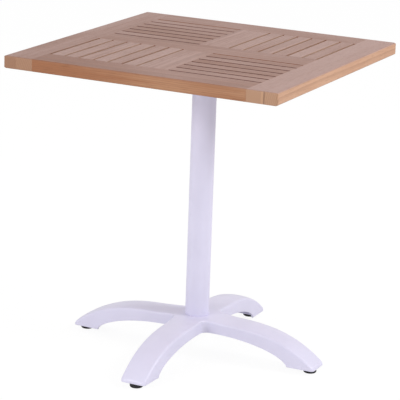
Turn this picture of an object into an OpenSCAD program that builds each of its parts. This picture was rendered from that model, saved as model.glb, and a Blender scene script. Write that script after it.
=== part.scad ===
// Folding bistro table: a slatted square top that tilts on a column with a four-armed star base.
// Millimetres. The origin is on the floor under the middle of the top, with +Z up.
// The front is -Y, so the front edge drops when the top is folded, and +X is the right.

/* [Table] */
// Height of the top surface above the floor
table_h = 738; // [660:1:800]
// Side of the square top
top_w = 680; // [600:1:800]
// Thickness of the frame boards
top_t = 29; // [26:1:36]
// Radius of the top's corners in plan
corner_r = 6; // [4:0.5:12]
// Radius of the top's rounded edges
edge_r = 3; // [1:0.5:4]

/* [Top boards] */
// Width of the frame boards
board_w = 75; // [65:1:90]
// Width of the outer board of each glued stile
outer_board_w = 32.5; // [24:0.5:38]
// Thickness of the frame's tenons
tenon_t = 10; // [8:0.5:12]
// Length of the frame's tenons
tenon_l = 25; // [15:1:30]
// Shoulder beside the frame's tenons
tenon_shoulder = 12; // [8:1:20]
// Number of slats in each panel
slat_count = 6; // [4:1:6]
// Gap beside each slat
slat_gap = 5; // [4:0.25:8]
// Thickness of the slats
slat_t = 16; // [12:1:20]
// Thickness of the slats' tenons
slat_tenon_t = 8; // [5:0.5:9]
// Length of the slats' tenons
slat_tenon_l = 10; // [6:1:14]
// Shoulder beside the slats' tenons
slat_shoulder = 4; // [2:0.5:6]
// Clearance round every tenon
joint_gap = 0.15; // [0.1:0.05:0.3]

/* [Column] */
// Outer diameter of the column
column_d = 57; // [54:1:66]
// Wall of the column
column_wall = 2.5; // [1.5:0.1:4]
// Length of the spigots that centre the column
spigot_l = 16; // [10:1:24]
// Clearance round those spigots
spigot_gap = 0.2; // [0.1:0.05:0.4]
// Diameter of the tie rod
rod_d = 10; // [8:1:12]
// Clearance round the tie rod in the hub
rod_gap = 0.3; // [0.1:0.05:0.5]
// Clearance of a screw thread in its tapped hole
thread_gap = 0.05; // [0.02:0.01:0.08]
// Length of the tie rod's end below its nut
rod_stub = 1; // [0.5:0.25:3]
// Clearance above the tie rod's upper end
rod_end_gap = 1; // [0.5:0.25:2]
// Height of the tie rod's nut
nut_h = 8; // [6:0.5:10]
// Width of the nut across its flats
nut_w = 17; // [14:0.5:19]
// Diameter of the washer
washer_d = 26; // [20:1:32]
// Thickness of the washer
washer_t = 2; // [1:0.25:3]

/* [Star base] */
// Height of the hub's flat top
hub_h = 92; // [84:1:100]
// Depth of the arms at the hub
hub_depth = 30.5; // [26:0.5:38]
// Reach of the arms from the centre
arm_reach = 322; // [290:1:350]
// Distance from the centre at which the arms start to fall
arm_flat = 60; // [50:1:75]
// Steepness of the arms' top curve
arm_bend = 3.1; // [2.4:0.1:3.6]
// Fullness of the arms' lower curve, where 1 is an ellipse and more is fuller at the heel
under_bend = 1.22; // [1:0.02:1.4]
// Width of the arms at the hub
arm_root_w = 74; // [64:1:80]
// Width of the arms at the tip
arm_tip_w = 63; // [54:1:68]
// Radius between neighbouring arms
arm_fillet = 18; // [10:1:22]
// Radius of the tips' corners in plan
tip_round = 8; // [4:1:14]
// Height of the blunt tip
tip_h = 9; // [6:0.5:13]
// Length of the flat foot
foot_l = 68; // [62:1:84]
// Length of the solid foot block
foot_block_l = 52; // [44:1:60]
// Gap between the floor and the foot
foot_gap = 12.5; // [9.5:0.5:16]
// Wall at the arms' sides
arm_wall = 5; // [4:0.5:7]
// Wall at the arms' top
arm_skin = 6; // [5:0.5:8]
// Diameter of the boss that the nut draws on
boss_d = 40; // [34:1:44]
// Depth of that boss
boss_h = 18; // [14:1:20]
// Thickness of the webs round the boss
web_t = 5; // [4:0.5:8]

/* [Glides] */
// Distance from the tip to the glide's axis
glide_inset = 21; // [18:1:26]
// Diameter of the glide's pad
glide_d = 31; // [26:1:34]
// Diameter of the face that it stands on
glide_face_d = 24; // [18:1:26]
// Height of the pad's rounded lower part
glide_round_h = 4; // [2:0.5:6]
// Clearance between the pad and the foot
glide_gap = 0.3; // [0.2:0.05:0.6]
// Diameter of the glide's stud
stud_d = 8; // [6:1:9]
// Length of stud inside the foot
stud_l = 15; // [12:0.5:16]
// Length of stud held inside the pad
stud_root_l = 7; // [5:0.5:8]

/* [Tilting head] */
// Distance of the pivot in front of the centre
pivot_offset = 20; // [16:1:22]
// Depth of the pivot under the top boards
pivot_drop = 30; // [28:1:36]
// Height of the pivot above the column's end
pivot_rise = 24; // [22:1:30]
// Diameter of the pivot pin
pin_d = 12; // [10:0.5:13]
// Running clearance of the pin in its bushes
pin_gap = 0.05; // [0.02:0.01:0.1]
// Clearance of the pin and the bushes in the holes that hold them
seat_gap = 0.02; // [0.01:0.01:0.04]
// Wall of the bushes
bush_wall = 2; // [1.5:0.25:2.5]
// Thickness of the bushes' flanges
bush_flange_t = 1.2; // [0.8:0.1:2]
// Width of the bushes' flanges beyond their barrels
bush_flange_w = 3; // [1.5:0.25:3.5]
// Half the gap between the bushes' inner ends
bush_end_gap = 1; // [0.5:0.25:3]
// Width of the head's eye
head_w = 41; // [36:1:44]
// Diameter of the eye and of the lugs' ends
eye_d = 28; // [26:1:32]
// Thickness of the head's collar
collar_t = 6; // [4:0.5:7]
// Reach of the collar beyond the column
collar_lip = 2.5; // [1:0.5:3.5]
// Depth behind the centre of the head's block
head_back = 22; // [18:1:26]
// Distance of the block's top below the bracket
buffer_room = 4; // [3:0.5:6]
// Width of the rest buffer
buffer_w = 20; // [14:1:30]
// Length of the rest buffer
buffer_l = 22; // [14:1:24]
// Distance of the rest buffer from the block's back
buffer_inset = 1; // [0.5:0.25:2]
// Clearance over the rest buffer
buffer_gap = 0.3; // [0.2:0.05:0.5]

/* [Bracket] */
// Thickness of the bracket's plate
plate_t = 5; // [4:0.5:7]
// Side of the plate's square middle
plate_w = 92; // [84:1:110]
// Reach of the bracket's arms from the centre
bracket_reach = 150; // [138:1:180]
// Width of the bracket's arms
bracket_arm_w = 44; // [40:1:52]
// Height of the arms' ribs
rib_h = 8; // [5:0.5:10]
// Thickness of the arms' ribs
rib_t = 4; // [3:0.5:6]
// Thickness of the pivot lugs
lug_t = 6; // [5:0.5:8]
// Clearance between a lug and its bush
lug_gap = 0.3; // [0.2:0.05:0.6]
// Extra length of the lugs' roots at each end
lug_root = 8; // [4:1:10]
// Thickness of the pin's head and of its ring
pin_head_t = 3; // [2:0.5:4]
// Diameter of the pin's head and of its ring
pin_head_d = 20; // [17:0.5:22]
// Length of the pin beyond its ring
pin_end = 1; // [0.5:0.25:2]
// Diameter of the wood screws
screw_d = 4.5; // [4:0.25:5]
// Length of wood screw in the boards
screw_l = 13; // [10:0.5:14]
// Diameter of the screws' heads
screw_head_d = 9; // [8:0.5:10]
// Diameter of the flat on the screws' heads
screw_flat_d = 5.4; // [4:0.2:6.4]
// Height of the screws' heads
screw_head_h = 2.6; // [2:0.2:3.4]
// Distance of the screws from the ends of the bracket's arms
screw_inset = 12; // [8:1:20]
// Half the distance between two screws side by side
screw_side = 11; // [9:0.5:12]
// Clearance round the screws
screw_gap = 0.1; // [0.05:0.05:0.3]

/* [Latch] */
// Distance of the latch's pin behind the centre
latch_offset = 52; // [48:1:56]
// Depth of the latch's pin under the top boards
latch_drop = 21; // [19:1:24]
// Width of the latch lever
latch_w = 16; // [12:1:20]
// Diameter of the lever's eye
latch_eye_d = 14; // [12:1:16]
// Diameter of the latch's pin
latch_pin_d = 6; // [5:0.5:7]
// Diameter of the heads of that pin
latch_pin_head_d = 8.4; // [7:0.2:10]
// Thickness of those heads
latch_pin_head_t = 1; // [0.75:0.25:1.5]
// Thickness of the ears that hold the latch's pin
ear_t = 4; // [3:0.5:5]
// Reach of the lip behind the head's block
lip_l = 12; // [10:0.5:13]
// Thickness of the lip
lip_t = 5; // [4:0.5:6]
// Depth of the lip's lower face below the pivot
lip_drop = 7; // [5:0.5:9]
// Length of the nose under the lip
nose_grip = 4; // [3:0.5:5]
// Thickness of the nose
nose_t = 6; // [4:0.5:7]
// Thickness of the nose's tip
nose_tip_t = 4.2; // [2.8:0.2:4.4]
// Clearance between the nose and the lip
nose_gap = 0.3; // [0.2:0.05:0.5]
// Length of the handle behind the latch's pin
handle_l = 70; // [60:1:80]
// Thickness of the handle
handle_t = 5; // [4:0.5:6]
// Depth of the handle's top below the latch's pin
handle_drop = 9; // [8.5:0.5:10]
// Width of the handle's thumb pad
thumb_w = 26; // [20:1:30]
// Length of that pad
thumb_l = 28; // [20:1:34]
// Outer diameter of the latch's spring
spring_d = 10; // [8:0.5:12]
// Diameter of the spring's wire
wire_d = 1.2; // [1:0.1:1.6]
// Clearance under the spring
spring_gap = 0.3; // [0.1:0.1:0.5]
// Number of turns in the spring
spring_turns = 6; // [4:1:7]
// Distance of the spring behind the latch's pin
spring_offset = 22; // [20:1:28]

/* [Hidden] */
corners = ["fl", "fr", "br", "bl"];
sides = ["right", "back", "left", "front"];

// Finishes
teak = [0.70, 0.53, 0.42];
teak_dark = [0.64, 0.47, 0.37];
white_metal = [0.90, 0.90, 0.95];
zinc = [0.72, 0.73, 0.75];
black_plastic = [0.10, 0.10, 0.11];
nylon = [0.86, 0.85, 0.80];

// Cuts run this far past the faces that they open, and joined solids this far into each other
over = 1;
// Smoothness of cylinders, of screws and of curved outlines
$fn = 64;
screw_fn = 24;
edge_steps = 6;
arm_steps = 22;
under_steps = 14;
corner_steps = 6;

// Levels of the top
under_top = table_h - top_t;
half_top = top_w / 2;
half_open = half_top - board_w;
half_board = board_w / 2;
tenon_z = table_h - top_t / 2;
tenon_w = board_w - 2 * tenon_shoulder;
slat_w = (half_open - half_board - (slat_count + 1) * slat_gap) / slat_count;
slat_l = half_open - half_board;
slat_z = table_h - slat_t / 2;
function slat_x(i) = -half_board - slat_gap - slat_w / 2 - (i - 1) * (slat_w + slat_gap);

// Levels of the column and the pivot
plate_z = under_top - plate_t;
pivot_y = -pivot_offset;
pivot_z = under_top - pivot_drop;
column_top = pivot_z - pivot_rise;
collar_z = column_top + collar_t;
head_top = plate_z - buffer_room;
bore_r = column_d / 2 - column_wall;
eye_r = eye_d / 2;
bush_r = pin_d / 2 + pin_gap + bush_wall;
lug_x = head_w / 2 + bush_flange_t + lug_gap;
rod_r = rod_d / 2;
boss_z = hub_h - boss_h;

// Levels of the base
under_hub = hub_h - hub_depth;
tip_z = foot_gap + tip_h;
heel_r = arm_reach - foot_l;
block_r = arm_reach - foot_block_l;
glide_r = arm_reach - glide_inset;
arm_taper = (arm_root_w - arm_tip_w) / 2 / (arm_reach - arm_flat);
function half_arm(r) = arm_root_w / 2 - arm_taper * (r - arm_flat);
function arm_fall(r, end) = max(0, (r - arm_flat) / (end - arm_flat));
function arm_top_z(r) = hub_h - (hub_h - tip_z) * pow(arm_fall(r, arm_reach), arm_bend);
// Radius and height on the arms' lower curve, from 0 degrees at the hub to 90 at the heel
function arm_under(a) = [arm_flat + (heel_r - arm_flat) * sin(a), foot_gap + (under_hub - foot_gap) * pow(cos(a), under_bend)];
// Centre of the fillet between two arms, on the diagonal, for walls set in by some inset
function fillet_at(inset) =
    ((arm_fillet + inset) * norm([1, arm_taper]) + half_arm(0) - inset) / (1 + arm_taper);
hub_half = fillet_at(0);

// Levels of the latch
latch_y = latch_offset;
latch_z = under_top - latch_drop;
lip_z = pivot_z - lip_drop;
lip_y = head_back + lip_l;
nose_z = lip_z - nose_gap;
handle_z = latch_z - handle_drop;
spring_y = latch_y + spring_offset;
ear_x = latch_w / 2 + lug_gap;

// Points on an arc from one angle to another
function arc(x, y, r, from, to, steps) =
    [for (i = [0:steps]) let (a = from + (to - from) * i / steps) [x + r * cos(a), y + r * sin(a)]];
function turned(points, a) = [for (p = points) [p[0] * cos(a) - p[1] * sin(a), p[0] * sin(a) + p[1] * cos(a)]];

// Extrudes an outline drawn in Y and Z along X, from x to x + w
module along_x(x, w) {
    translate([x, 0, 0]) rotate([90, 0, 90]) linear_extrude(w) children();
}

// Side view of the whole top, with rounded edges
module top_side() {
    low = under_top + edge_r;
    high = table_h - edge_r;
    x = half_top - edge_r;
    polygon(concat(
        arc(x, low, edge_r, -90, 0, edge_steps),
        arc(x, high, edge_r, 0, 90, edge_steps),
        arc(-x, high, edge_r, 90, 180, edge_steps),
        arc(-x, low, edge_r, 180, 270, edge_steps)
    ));
}

// Plan of the whole top, with rounded corners
module top_plan() {
    x = half_top - corner_r;
    polygon([for (a = [0:90:270]) each turned(arc(x, x, corner_r, 0, 90, edge_steps), a)]);
}

// The envelope that the outer boards are shaped to
module rounded_slab() {
    intersection() {
        translate([0, half_top, 0]) rotate([90, 0, 0]) linear_extrude(top_w) top_side();
        translate([-half_top, 0, 0]) rotate([90, 0, 90]) linear_extrude(top_w) top_side();
        linear_extrude(table_h) top_plan();
    }
}

// A frame tenon, or with a gap its mortise, whose shoulder is at x and which points to +X
module frame_tenon(x, gap = 0) {
    l = tenon_l + gap;
    translate([x, -tenon_w / 2 - gap, tenon_z - tenon_t / 2 - gap])
        cube([l, tenon_w + 2 * gap, tenon_t + 2 * gap]);
}

// Both tenons of a slat of the front left panel, or with a gap their mortises
module slat_tenons(i, gap = 0) {
    w = slat_w - 2 * slat_shoulder + 2 * gap;
    l = slat_l + 2 * (slat_tenon_l + gap);
    translate([slat_x(i) - w / 2, -(half_open + half_board) / 2 - l / 2, slat_z - slat_tenon_t / 2 - gap])
        cube([w, l, slat_tenon_t + 2 * gap]);
}

module panel_mortises() {
    for (i = [1:slat_count])
        slat_tenons(i, joint_gap);
}

module slat(i) {
    color(i % 2 == 0 ? teak : teak_dark) {
        translate([slat_x(i) - slat_w / 2, -half_open, table_h - slat_t]) cube([slat_w, slat_l, slat_t]);
        slat_tenons(i);
    }
}

// A stile's outer board on the left
module stile_outer() {
    color(teak) intersection() {
        rounded_slab();
        translate([-half_top, -half_top, under_top]) cube([outer_board_w, top_w, top_t]);
    }
}

// A stile's inner board on the left, with mortises for three rails and one panel
module stile_inner() {
    color(teak_dark) difference() {
        intersection() {
            rounded_slab();
            translate([-half_top + outer_board_w, -half_top, under_top])
                cube([board_w - outer_board_w, top_w, top_t]);
        }
        for (y = [-1, 0, 1])
            translate([0, y * (half_open + half_board), 0]) rotate(180) frame_tenon(half_open, joint_gap);
        rotate(-90) panel_mortises();
    }
}

// The front rail, with a mortise for the divider and for one panel
module rail_front() {
    color(teak) difference() {
        union() {
            intersection() {
                rounded_slab();
                translate([-half_open, -half_top, under_top]) cube([2 * half_open, board_w, top_t]);
            }
            for (a = [0, 180])
                translate([0, -half_open - half_board, 0]) rotate(a) frame_tenon(half_open);
        }
        rotate(-90) frame_tenon(half_open, joint_gap);
        panel_mortises();
    }
}

module rail_middle() {
    color(teak_dark) difference() {
        union() {
            translate([-half_open, -half_board, under_top]) cube([2 * half_open, board_w, top_t]);
            for (a = [0, 180])
                rotate(a) frame_tenon(half_open);
        }
        for (a = [90, -90])
            rotate(a) translate([half_board, 0, 0]) rotate(180) frame_tenon(0, joint_gap);
        for (a = [0, 180])
            rotate(a) panel_mortises();
        screw_shanks(screw_gap);
    }
}

// The front divider, with mortises for one panel
module divider_front() {
    color(teak) difference() {
        union() {
            translate([-half_board, -half_open, under_top]) cube([board_w, slat_l, top_t]);
            rotate(-90) frame_tenon(half_open);
            translate([0, -half_board, 0]) rotate(90) frame_tenon(0);
        }
        rotate(90) panel_mortises();
        screw_shanks(screw_gap);
    }
}

// Outline of the star in plan, with its walls set in and its arms ending at reach
function star_arm(inset, reach, round_r) =
    let (y = half_arm(reach - round_r) - inset - round_r, c = fillet_at(inset), a = atan(arm_taper))
    concat(
        arc(reach - round_r, -y, round_r, -90, 0, corner_steps),
        arc(reach - round_r, y, round_r, 0, 90, corner_steps),
        arc(c, c, arm_fillet + inset, 270 - a, 180 + a, corner_steps)
    );
module star_plan(inset, reach, round_r) {
    polygon([for (a = [0:90:270]) each turned(star_arm(inset, reach, round_r), a)]);
}

// Side view of one arm, from the centre outwards
module arm_side() {
    polygon(concat(
        [[0, under_hub], [0, hub_h]],
        [for (i = [0:arm_steps]) let (r = arm_flat + (arm_reach - arm_flat) * i / arm_steps) [r, arm_top_z(r)]],
        [[arm_reach, foot_gap]],
        [for (i = [0:under_steps]) arm_under(90 * (1 - i / under_steps))]
    ));
}

// Side view of the hollow in one arm, open below
module arm_hollow_side() {
    polygon(concat(
        [[0, -over], [0, hub_h - arm_skin]],
        [for (i = [0:arm_steps]) let (r = arm_flat + (block_r - arm_flat) * i / arm_steps) [r, arm_top_z(r) - arm_skin]],
        [[block_r, -over]]
    ));
}

// Four arms, from a side view
module four_arms() {
    for (a = [0:90:270])
        rotate(a) translate([0, hub_half, 0]) rotate([90, 0, 0]) linear_extrude(2 * hub_half) children();
}

module star_base() {
    color(white_metal) difference() {
        union() {
            difference() {
                intersection() {
                    linear_extrude(hub_h) star_plan(0, arm_reach, tip_round);
                    four_arms() arm_side();
                }
                intersection() {
                    translate([0, 0, -over]) linear_extrude(hub_h) star_plan(arm_wall, block_r, web_t);
                    four_arms() arm_hollow_side();
                }
            }
            translate([0, 0, boss_z]) cylinder(h = boss_h, d = boss_d);
            for (a = [45, -45])
                rotate(a) translate([-hub_half, -web_t / 2, boss_z]) cube([2 * hub_half, web_t, boss_h - arm_skin / 2]);
            translate([0, 0, hub_h - over]) cylinder(h = spigot_l + over, r = bore_r - spigot_gap);
        }
        translate([0, 0, boss_z - over]) cylinder(h = boss_h + spigot_l + 2 * over, r = rod_r + rod_gap);
        for (a = [0:90:270])
            rotate(a) translate([glide_r, 0, foot_gap - over])
                cylinder(h = stud_l + 2 * over, r = stud_d / 2 + thread_gap);
    }
}

module column_tube() {
    color(white_metal) difference() {
        translate([0, 0, hub_h]) cylinder(h = column_top - hub_h, d = column_d);
        translate([0, 0, hub_h - over]) cylinder(h = column_top - hub_h + 2 * over, r = bore_r);
    }
}

// The tie rod runs from below its nut into the pivot head's spigot
module tie_rod() {
    foot = boss_z - washer_t - nut_h - rod_stub;
    color(zinc) translate([0, 0, foot]) cylinder(h = column_top - rod_end_gap - foot, r = rod_r);
}

module tie_rod_washer() {
    color(zinc) difference() {
        translate([0, 0, boss_z - washer_t]) cylinder(h = washer_t, d = washer_d);
        translate([0, 0, boss_z - washer_t - over]) cylinder(h = washer_t + 2 * over, r = rod_r + rod_gap);
    }
}

module tie_rod_nut() {
    color(zinc) difference() {
        translate([0, 0, boss_z - washer_t - nut_h]) cylinder(h = nut_h, d = nut_w / cos(30), $fn = 6);
        translate([0, 0, boss_z - washer_t - nut_h - over]) cylinder(h = nut_h + 2 * over, r = rod_r + thread_gap);
    }
}

// Side view of the pivot head, without its lip: a block behind a round eye
module head_side() {
    polygon([
        [pivot_y - eye_r / 2, collar_z - over],
        [head_back, collar_z - over],
        [head_back, head_top],
        [pivot_y + eye_r, head_top],
        [pivot_y, pivot_z + eye_r],
        [pivot_y - eye_r, pivot_z]
    ]);
    translate([pivot_y, pivot_z]) circle(r = eye_r);
}

module pivot_head() {
    color(white_metal) difference() {
        union() {
            translate([0, 0, column_top]) cylinder(h = collar_t, r = column_d / 2 + collar_lip);
            translate([0, 0, column_top - spigot_l]) cylinder(h = spigot_l + over, r = bore_r - spigot_gap);
            along_x(-head_w / 2, head_w) head_side();
            translate([-latch_w / 2, head_back - over, lip_z]) cube([latch_w, lip_l + over, lip_t]);
        }
        translate([-head_w / 2 - over, pivot_y, pivot_z]) rotate([0, 90, 0])
            cylinder(h = head_w + 2 * over, r = bush_r + seat_gap);
        translate([0, 0, column_top - spigot_l - over]) cylinder(h = spigot_l + over, r = rod_r + thread_gap);
    }
}

// A flanged bush on the right side of the eye
module bush_right() {
    barrel = head_w / 2 - bush_end_gap;
    color(nylon) translate([bush_end_gap, pivot_y, pivot_z]) rotate([0, 90, 0]) difference() {
        union() {
            cylinder(h = barrel, r = bush_r);
            translate([0, 0, barrel]) cylinder(h = bush_flange_t, r = bush_r + bush_flange_w);
        }
        translate([0, 0, -over]) cylinder(h = barrel + bush_flange_t + 2 * over, r = pin_d / 2 + pin_gap);
    }
}

module rest_buffer() {
    h = buffer_room - buffer_gap;
    color(black_plastic) translate([-buffer_w / 2, head_back - buffer_inset - buffer_l, head_top])
        cube([buffer_w, buffer_l, h]);
}

// The pivot pin, with its head on the right and room for the ring on the left
pin_x = lug_x + lug_t;
module pivot_pin() {
    color(zinc) translate([0, pivot_y, pivot_z]) rotate([0, 90, 0]) {
        translate([0, 0, -pin_x - pin_head_t - pin_end]) cylinder(h = 2 * pin_x + pin_head_t + pin_end, d = pin_d);
        translate([0, 0, pin_x]) cylinder(h = pin_head_t, d = pin_head_d);
    }
}

module pin_ring() {
    color(zinc) translate([-pin_x - pin_head_t, pivot_y, pivot_z]) rotate([0, 90, 0]) difference() {
        cylinder(h = pin_head_t, d = pin_head_d);
        translate([0, 0, -over]) cylinder(h = pin_head_t + 2 * over, r = pin_d / 2 + seat_gap);
    }
}

// Side view of a lug: a round end that widens to its root on the plate
module lug_side() {
    polygon([
        [pivot_y - eye_r, pivot_z],
        [pivot_y - eye_r - lug_root, plate_z + over],
        [pivot_y + eye_r + lug_root, plate_z + over],
        [pivot_y + eye_r, pivot_z]
    ]);
    translate([pivot_y, pivot_z]) circle(r = eye_r);
}

// Side view of one of the latch's ears
module ear_side() {
    r = latch_eye_d / 2;
    translate([latch_y - r, latch_z]) square([latch_eye_d, plate_z + over - latch_z]);
    translate([latch_y, latch_z]) circle(r = r);
}

// Places what fastens the bracket: two screws near each arm's end and four at its middle
screw_r = bracket_reach - screw_inset;
middle_screw_x = lug_x + lug_t + pin_head_t + screw_head_d / 2;
middle_screw_y = half_board - screw_inset;
module at_screws() {
    for (a = [0:90:270])
        for (s = [-1, 1])
            rotate(a) translate([screw_r, s * screw_side, 0]) children();
    for (x = [-1, 1])
        for (y = [-1, 1])
            translate([x * middle_screw_x, y * middle_screw_y, 0]) children();
}

module screw_shanks(gap = 0) {
    at_screws() translate([0, 0, plate_z]) cylinder(h = plate_t + screw_l + gap, r = screw_d / 2 + gap, $fn = screw_fn);
}

module bracket_screws() {
    color(zinc) {
        screw_shanks();
        at_screws() translate([0, 0, plate_z - screw_head_h])
            cylinder(h = screw_head_h, d1 = screw_flat_d, d2 = screw_head_d, $fn = screw_fn);
    }
}

module top_bracket() {
    arm = bracket_reach - bracket_arm_w / 2;
    color(white_metal) difference() {
        union() {
            translate([-plate_w / 2, -plate_w / 2, plate_z]) cube([plate_w, plate_w, plate_t]);
            for (a = [0:90:270])
                rotate(a) {
                    translate([0, -bracket_arm_w / 2, plate_z]) cube([arm, bracket_arm_w, plate_t]);
                    translate([arm, 0, plate_z]) cylinder(h = plate_t, d = bracket_arm_w);
                    for (s = [0, 1])
                        mirror([0, s, 0])
                            translate([plate_w / 2 - over, bracket_arm_w / 2 - rib_t, plate_z - rib_h])
                                cube([arm - plate_w / 2, rib_t, rib_h + over]);
                }
            for (x = [lug_x, -lug_x - lug_t])
                along_x(x, lug_t) lug_side();
            for (x = [ear_x, -ear_x - ear_t])
                along_x(x, ear_t) ear_side();
        }
        translate([-pin_x - over, pivot_y, pivot_z]) rotate([0, 90, 0])
            cylinder(h = 2 * (pin_x + over), r = pin_d / 2 + seat_gap);
        translate([-ear_x - ear_t - over, latch_y, latch_z]) rotate([0, 90, 0])
            cylinder(h = 2 * (ear_x + ear_t + over), r = latch_pin_d / 2 + seat_gap);
        screw_shanks(screw_gap);
    }
}

// Side view of the latch lever: a nose under the head's lip, an eye and a handle
module latch_side() {
    r = latch_eye_d / 2;
    nose_y = lip_y - nose_grip;
    shank_y = lip_y + nose_t;
    polygon([
        [nose_y, nose_z],
        [nose_y, nose_z - nose_tip_t],
        [lip_y, nose_z - nose_t],
        [shank_y + nose_t, nose_z - nose_t],
        [latch_y + r, handle_z - handle_t],
        [latch_y + handle_l, handle_z - handle_t],
        [latch_y + handle_l, handle_z],
        [latch_y + 2 * r, handle_z],
        [latch_y + r, latch_z],
        [latch_y - r, latch_z],
        [shank_y, nose_z]
    ]);
    translate([latch_y, latch_z]) circle(r = r);
}

module latch_lever() {
    color(black_plastic) difference() {
        union() {
            along_x(-latch_w / 2, latch_w) latch_side();
            translate([-thumb_w / 2, latch_y + handle_l - thumb_l, handle_z - handle_t])
                cube([thumb_w, thumb_l, handle_t]);
        }
        translate([-latch_w, latch_y, latch_z]) rotate([0, 90, 0])
            cylinder(h = 2 * latch_w, r = latch_pin_d / 2 + pin_gap);
    }
}

module latch_pin() {
    l = 2 * (ear_x + ear_t);
    color(zinc) translate([-l / 2, latch_y, latch_z]) rotate([0, 90, 0]) {
        cylinder(h = l, d = latch_pin_d);
        for (z = [-latch_pin_head_t, l])
            translate([0, 0, z]) cylinder(h = latch_pin_head_t, d = latch_pin_head_d);
    }
}

// The latch's spring, one wire swept along a helix
spring_rings = 8;
wire_sides = 6;
spring_r = (spring_d - wire_d) / 2;
spring_low = handle_z + wire_d / 2 + spring_gap;
spring_high = plate_z - wire_d / 2;
function helix(t) = [
    spring_r * cos(360 * t),
    spring_y + spring_r * sin(360 * t),
    spring_low + (spring_high - spring_low) * t / spring_turns
];
function wire_point(t, b) =
    helix(t) + wire_d / 2 * [cos(b) * cos(360 * t), cos(b) * sin(360 * t), sin(b)];
// Least gap between the wire and its own next turn, from points half a turn or more apart
spring_line = [for (i = [0:spring_rings * spring_turns]) helix(i / spring_rings)];
echo(least_spring_gap = min([
    for (i = [0:len(spring_line) - 1]) for (j = [i + spring_rings / 2:len(spring_line) - 1])
        norm(spring_line[i] - spring_line[j])
]) - wire_d);
module latch_spring() {
    steps = spring_rings * spring_turns;
    last = steps * wire_sides;
    color(zinc) polyhedron(
        points = [for (i = [0:steps]) for (k = [0:wire_sides - 1]) wire_point(i / spring_rings, 360 * k / wire_sides)],
        faces = concat(
            [[for (k = [0:wire_sides - 1]) k]],
            [[for (k = [wire_sides - 1:-1:0]) last + k]],
            [for (i = [0:steps - 1]) for (k = [0:wire_sides - 1]) let (n = (k + 1) % wire_sides, o = i * wire_sides)
                [o + k, o + wire_sides + k, o + wire_sides + n]],
            [for (i = [0:steps - 1]) for (k = [0:wire_sides - 1]) let (n = (k + 1) % wire_sides, o = i * wire_sides)
                [o + k, o + wire_sides + n, o + n]]
        )
    );
}

// A glide's pad, under the right arm
pad_h = foot_gap - glide_gap;
module glide_pad() {
    color(black_plastic) translate([glide_r, 0, 0]) difference() {
        union() {
            cylinder(h = glide_round_h, d1 = glide_face_d, d2 = glide_d);
            translate([0, 0, glide_round_h]) cylinder(h = pad_h - glide_round_h, d = glide_d);
        }
        translate([0, 0, pad_h - stud_root_l]) cylinder(h = stud_root_l + over, r = stud_d / 2 + seat_gap);
    }
}

module glide_stud() {
    color(zinc) translate([glide_r, 0, pad_h - stud_root_l])
        cylinder(h = stud_root_l + glide_gap + stud_l, d = stud_d);
}

stile_outer();  // stile_left_outer
stile_inner();  // stile_left_inner
rotate(180) stile_inner();  // stile_right_inner
rotate(180) stile_outer();  // stile_right_outer
rail_front();
rail_middle();
rotate(180) rail_front();  // rail_back
divider_front();
rotate(180) divider_front();  // divider_back
for (q = [0:3])
    for (i = [1:slat_count])
        rotate(90 * q) slat(i);
star_base();
column_tube();
tie_rod();
tie_rod_nut();
tie_rod_washer();
pivot_head();
mirror([1, 0, 0]) bush_right();  // bush_left
bush_right();
rest_buffer();
top_bracket();
bracket_screws();
pivot_pin();
pin_ring();
latch_lever();
latch_pin();
latch_spring();
for (q = [0:3])
    rotate(90 * q) glide_pad();
for (q = [0:3])
    rotate(90 * q) glide_stud();
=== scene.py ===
# %% [markdown]
# # A folding bistro table
#
# The table has a slatted teak top that tilts on a white column, and a cast star base under it.
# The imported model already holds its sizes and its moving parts. This lesson dresses that model:
# it rebuilds each piece that shows as a finer mesh in the same place, and gives everything a
# procedural material. Loading the frame comes first, because all sizes are read from it.

# %% Load the frame and keep the model's own box
import math

import bmesh
import bpy
from mathutils import Matrix, Vector


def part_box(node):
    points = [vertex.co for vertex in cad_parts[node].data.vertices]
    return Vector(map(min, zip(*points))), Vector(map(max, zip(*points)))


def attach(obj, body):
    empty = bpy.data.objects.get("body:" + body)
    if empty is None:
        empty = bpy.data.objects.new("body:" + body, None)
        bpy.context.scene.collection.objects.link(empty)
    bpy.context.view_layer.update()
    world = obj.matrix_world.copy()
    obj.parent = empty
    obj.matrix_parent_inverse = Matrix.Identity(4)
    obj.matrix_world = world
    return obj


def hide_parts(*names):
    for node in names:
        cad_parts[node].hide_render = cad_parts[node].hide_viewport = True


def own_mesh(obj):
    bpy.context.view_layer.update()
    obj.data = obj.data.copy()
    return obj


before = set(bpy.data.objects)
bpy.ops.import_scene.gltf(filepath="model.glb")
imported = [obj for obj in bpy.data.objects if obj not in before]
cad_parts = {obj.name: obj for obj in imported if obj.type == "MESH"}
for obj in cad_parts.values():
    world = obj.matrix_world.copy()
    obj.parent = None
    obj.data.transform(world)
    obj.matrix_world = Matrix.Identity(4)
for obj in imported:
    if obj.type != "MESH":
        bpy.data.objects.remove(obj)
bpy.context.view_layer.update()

# %% Units and one small helper
MM = 0.001
QUARTER_TURN = math.pi / 2


def put_in_scene(name, data):
    """A new object with this data, in the scene's own collection."""
    item = bpy.data.objects.new(name, data)
    bpy.context.scene.collection.objects.link(item)
    return item


print("lengths are in metres, and 1 mm is", MM)

# %% [markdown]
# ## The camera
#
# A short lens close by would spread the corners of the top. A long lens far away gives the calm,
# nearly parallel edges of a catalogue picture. The camera looks at the middle of the table from the
# front and a little from the right, and it is rolled by two degrees, as the photograph is.

# %% Camera
CAMERA_AZIMUTH = math.radians(26.22)
CAMERA_ELEVATION = math.radians(15.44)
CAMERA_ROLL = math.radians(1.98)
CAMERA_DISTANCE = 4.876
CAMERA_TARGET = Vector((-0.0024, 0, 0.3732))
CAMERA_LENS = 185.3

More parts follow.
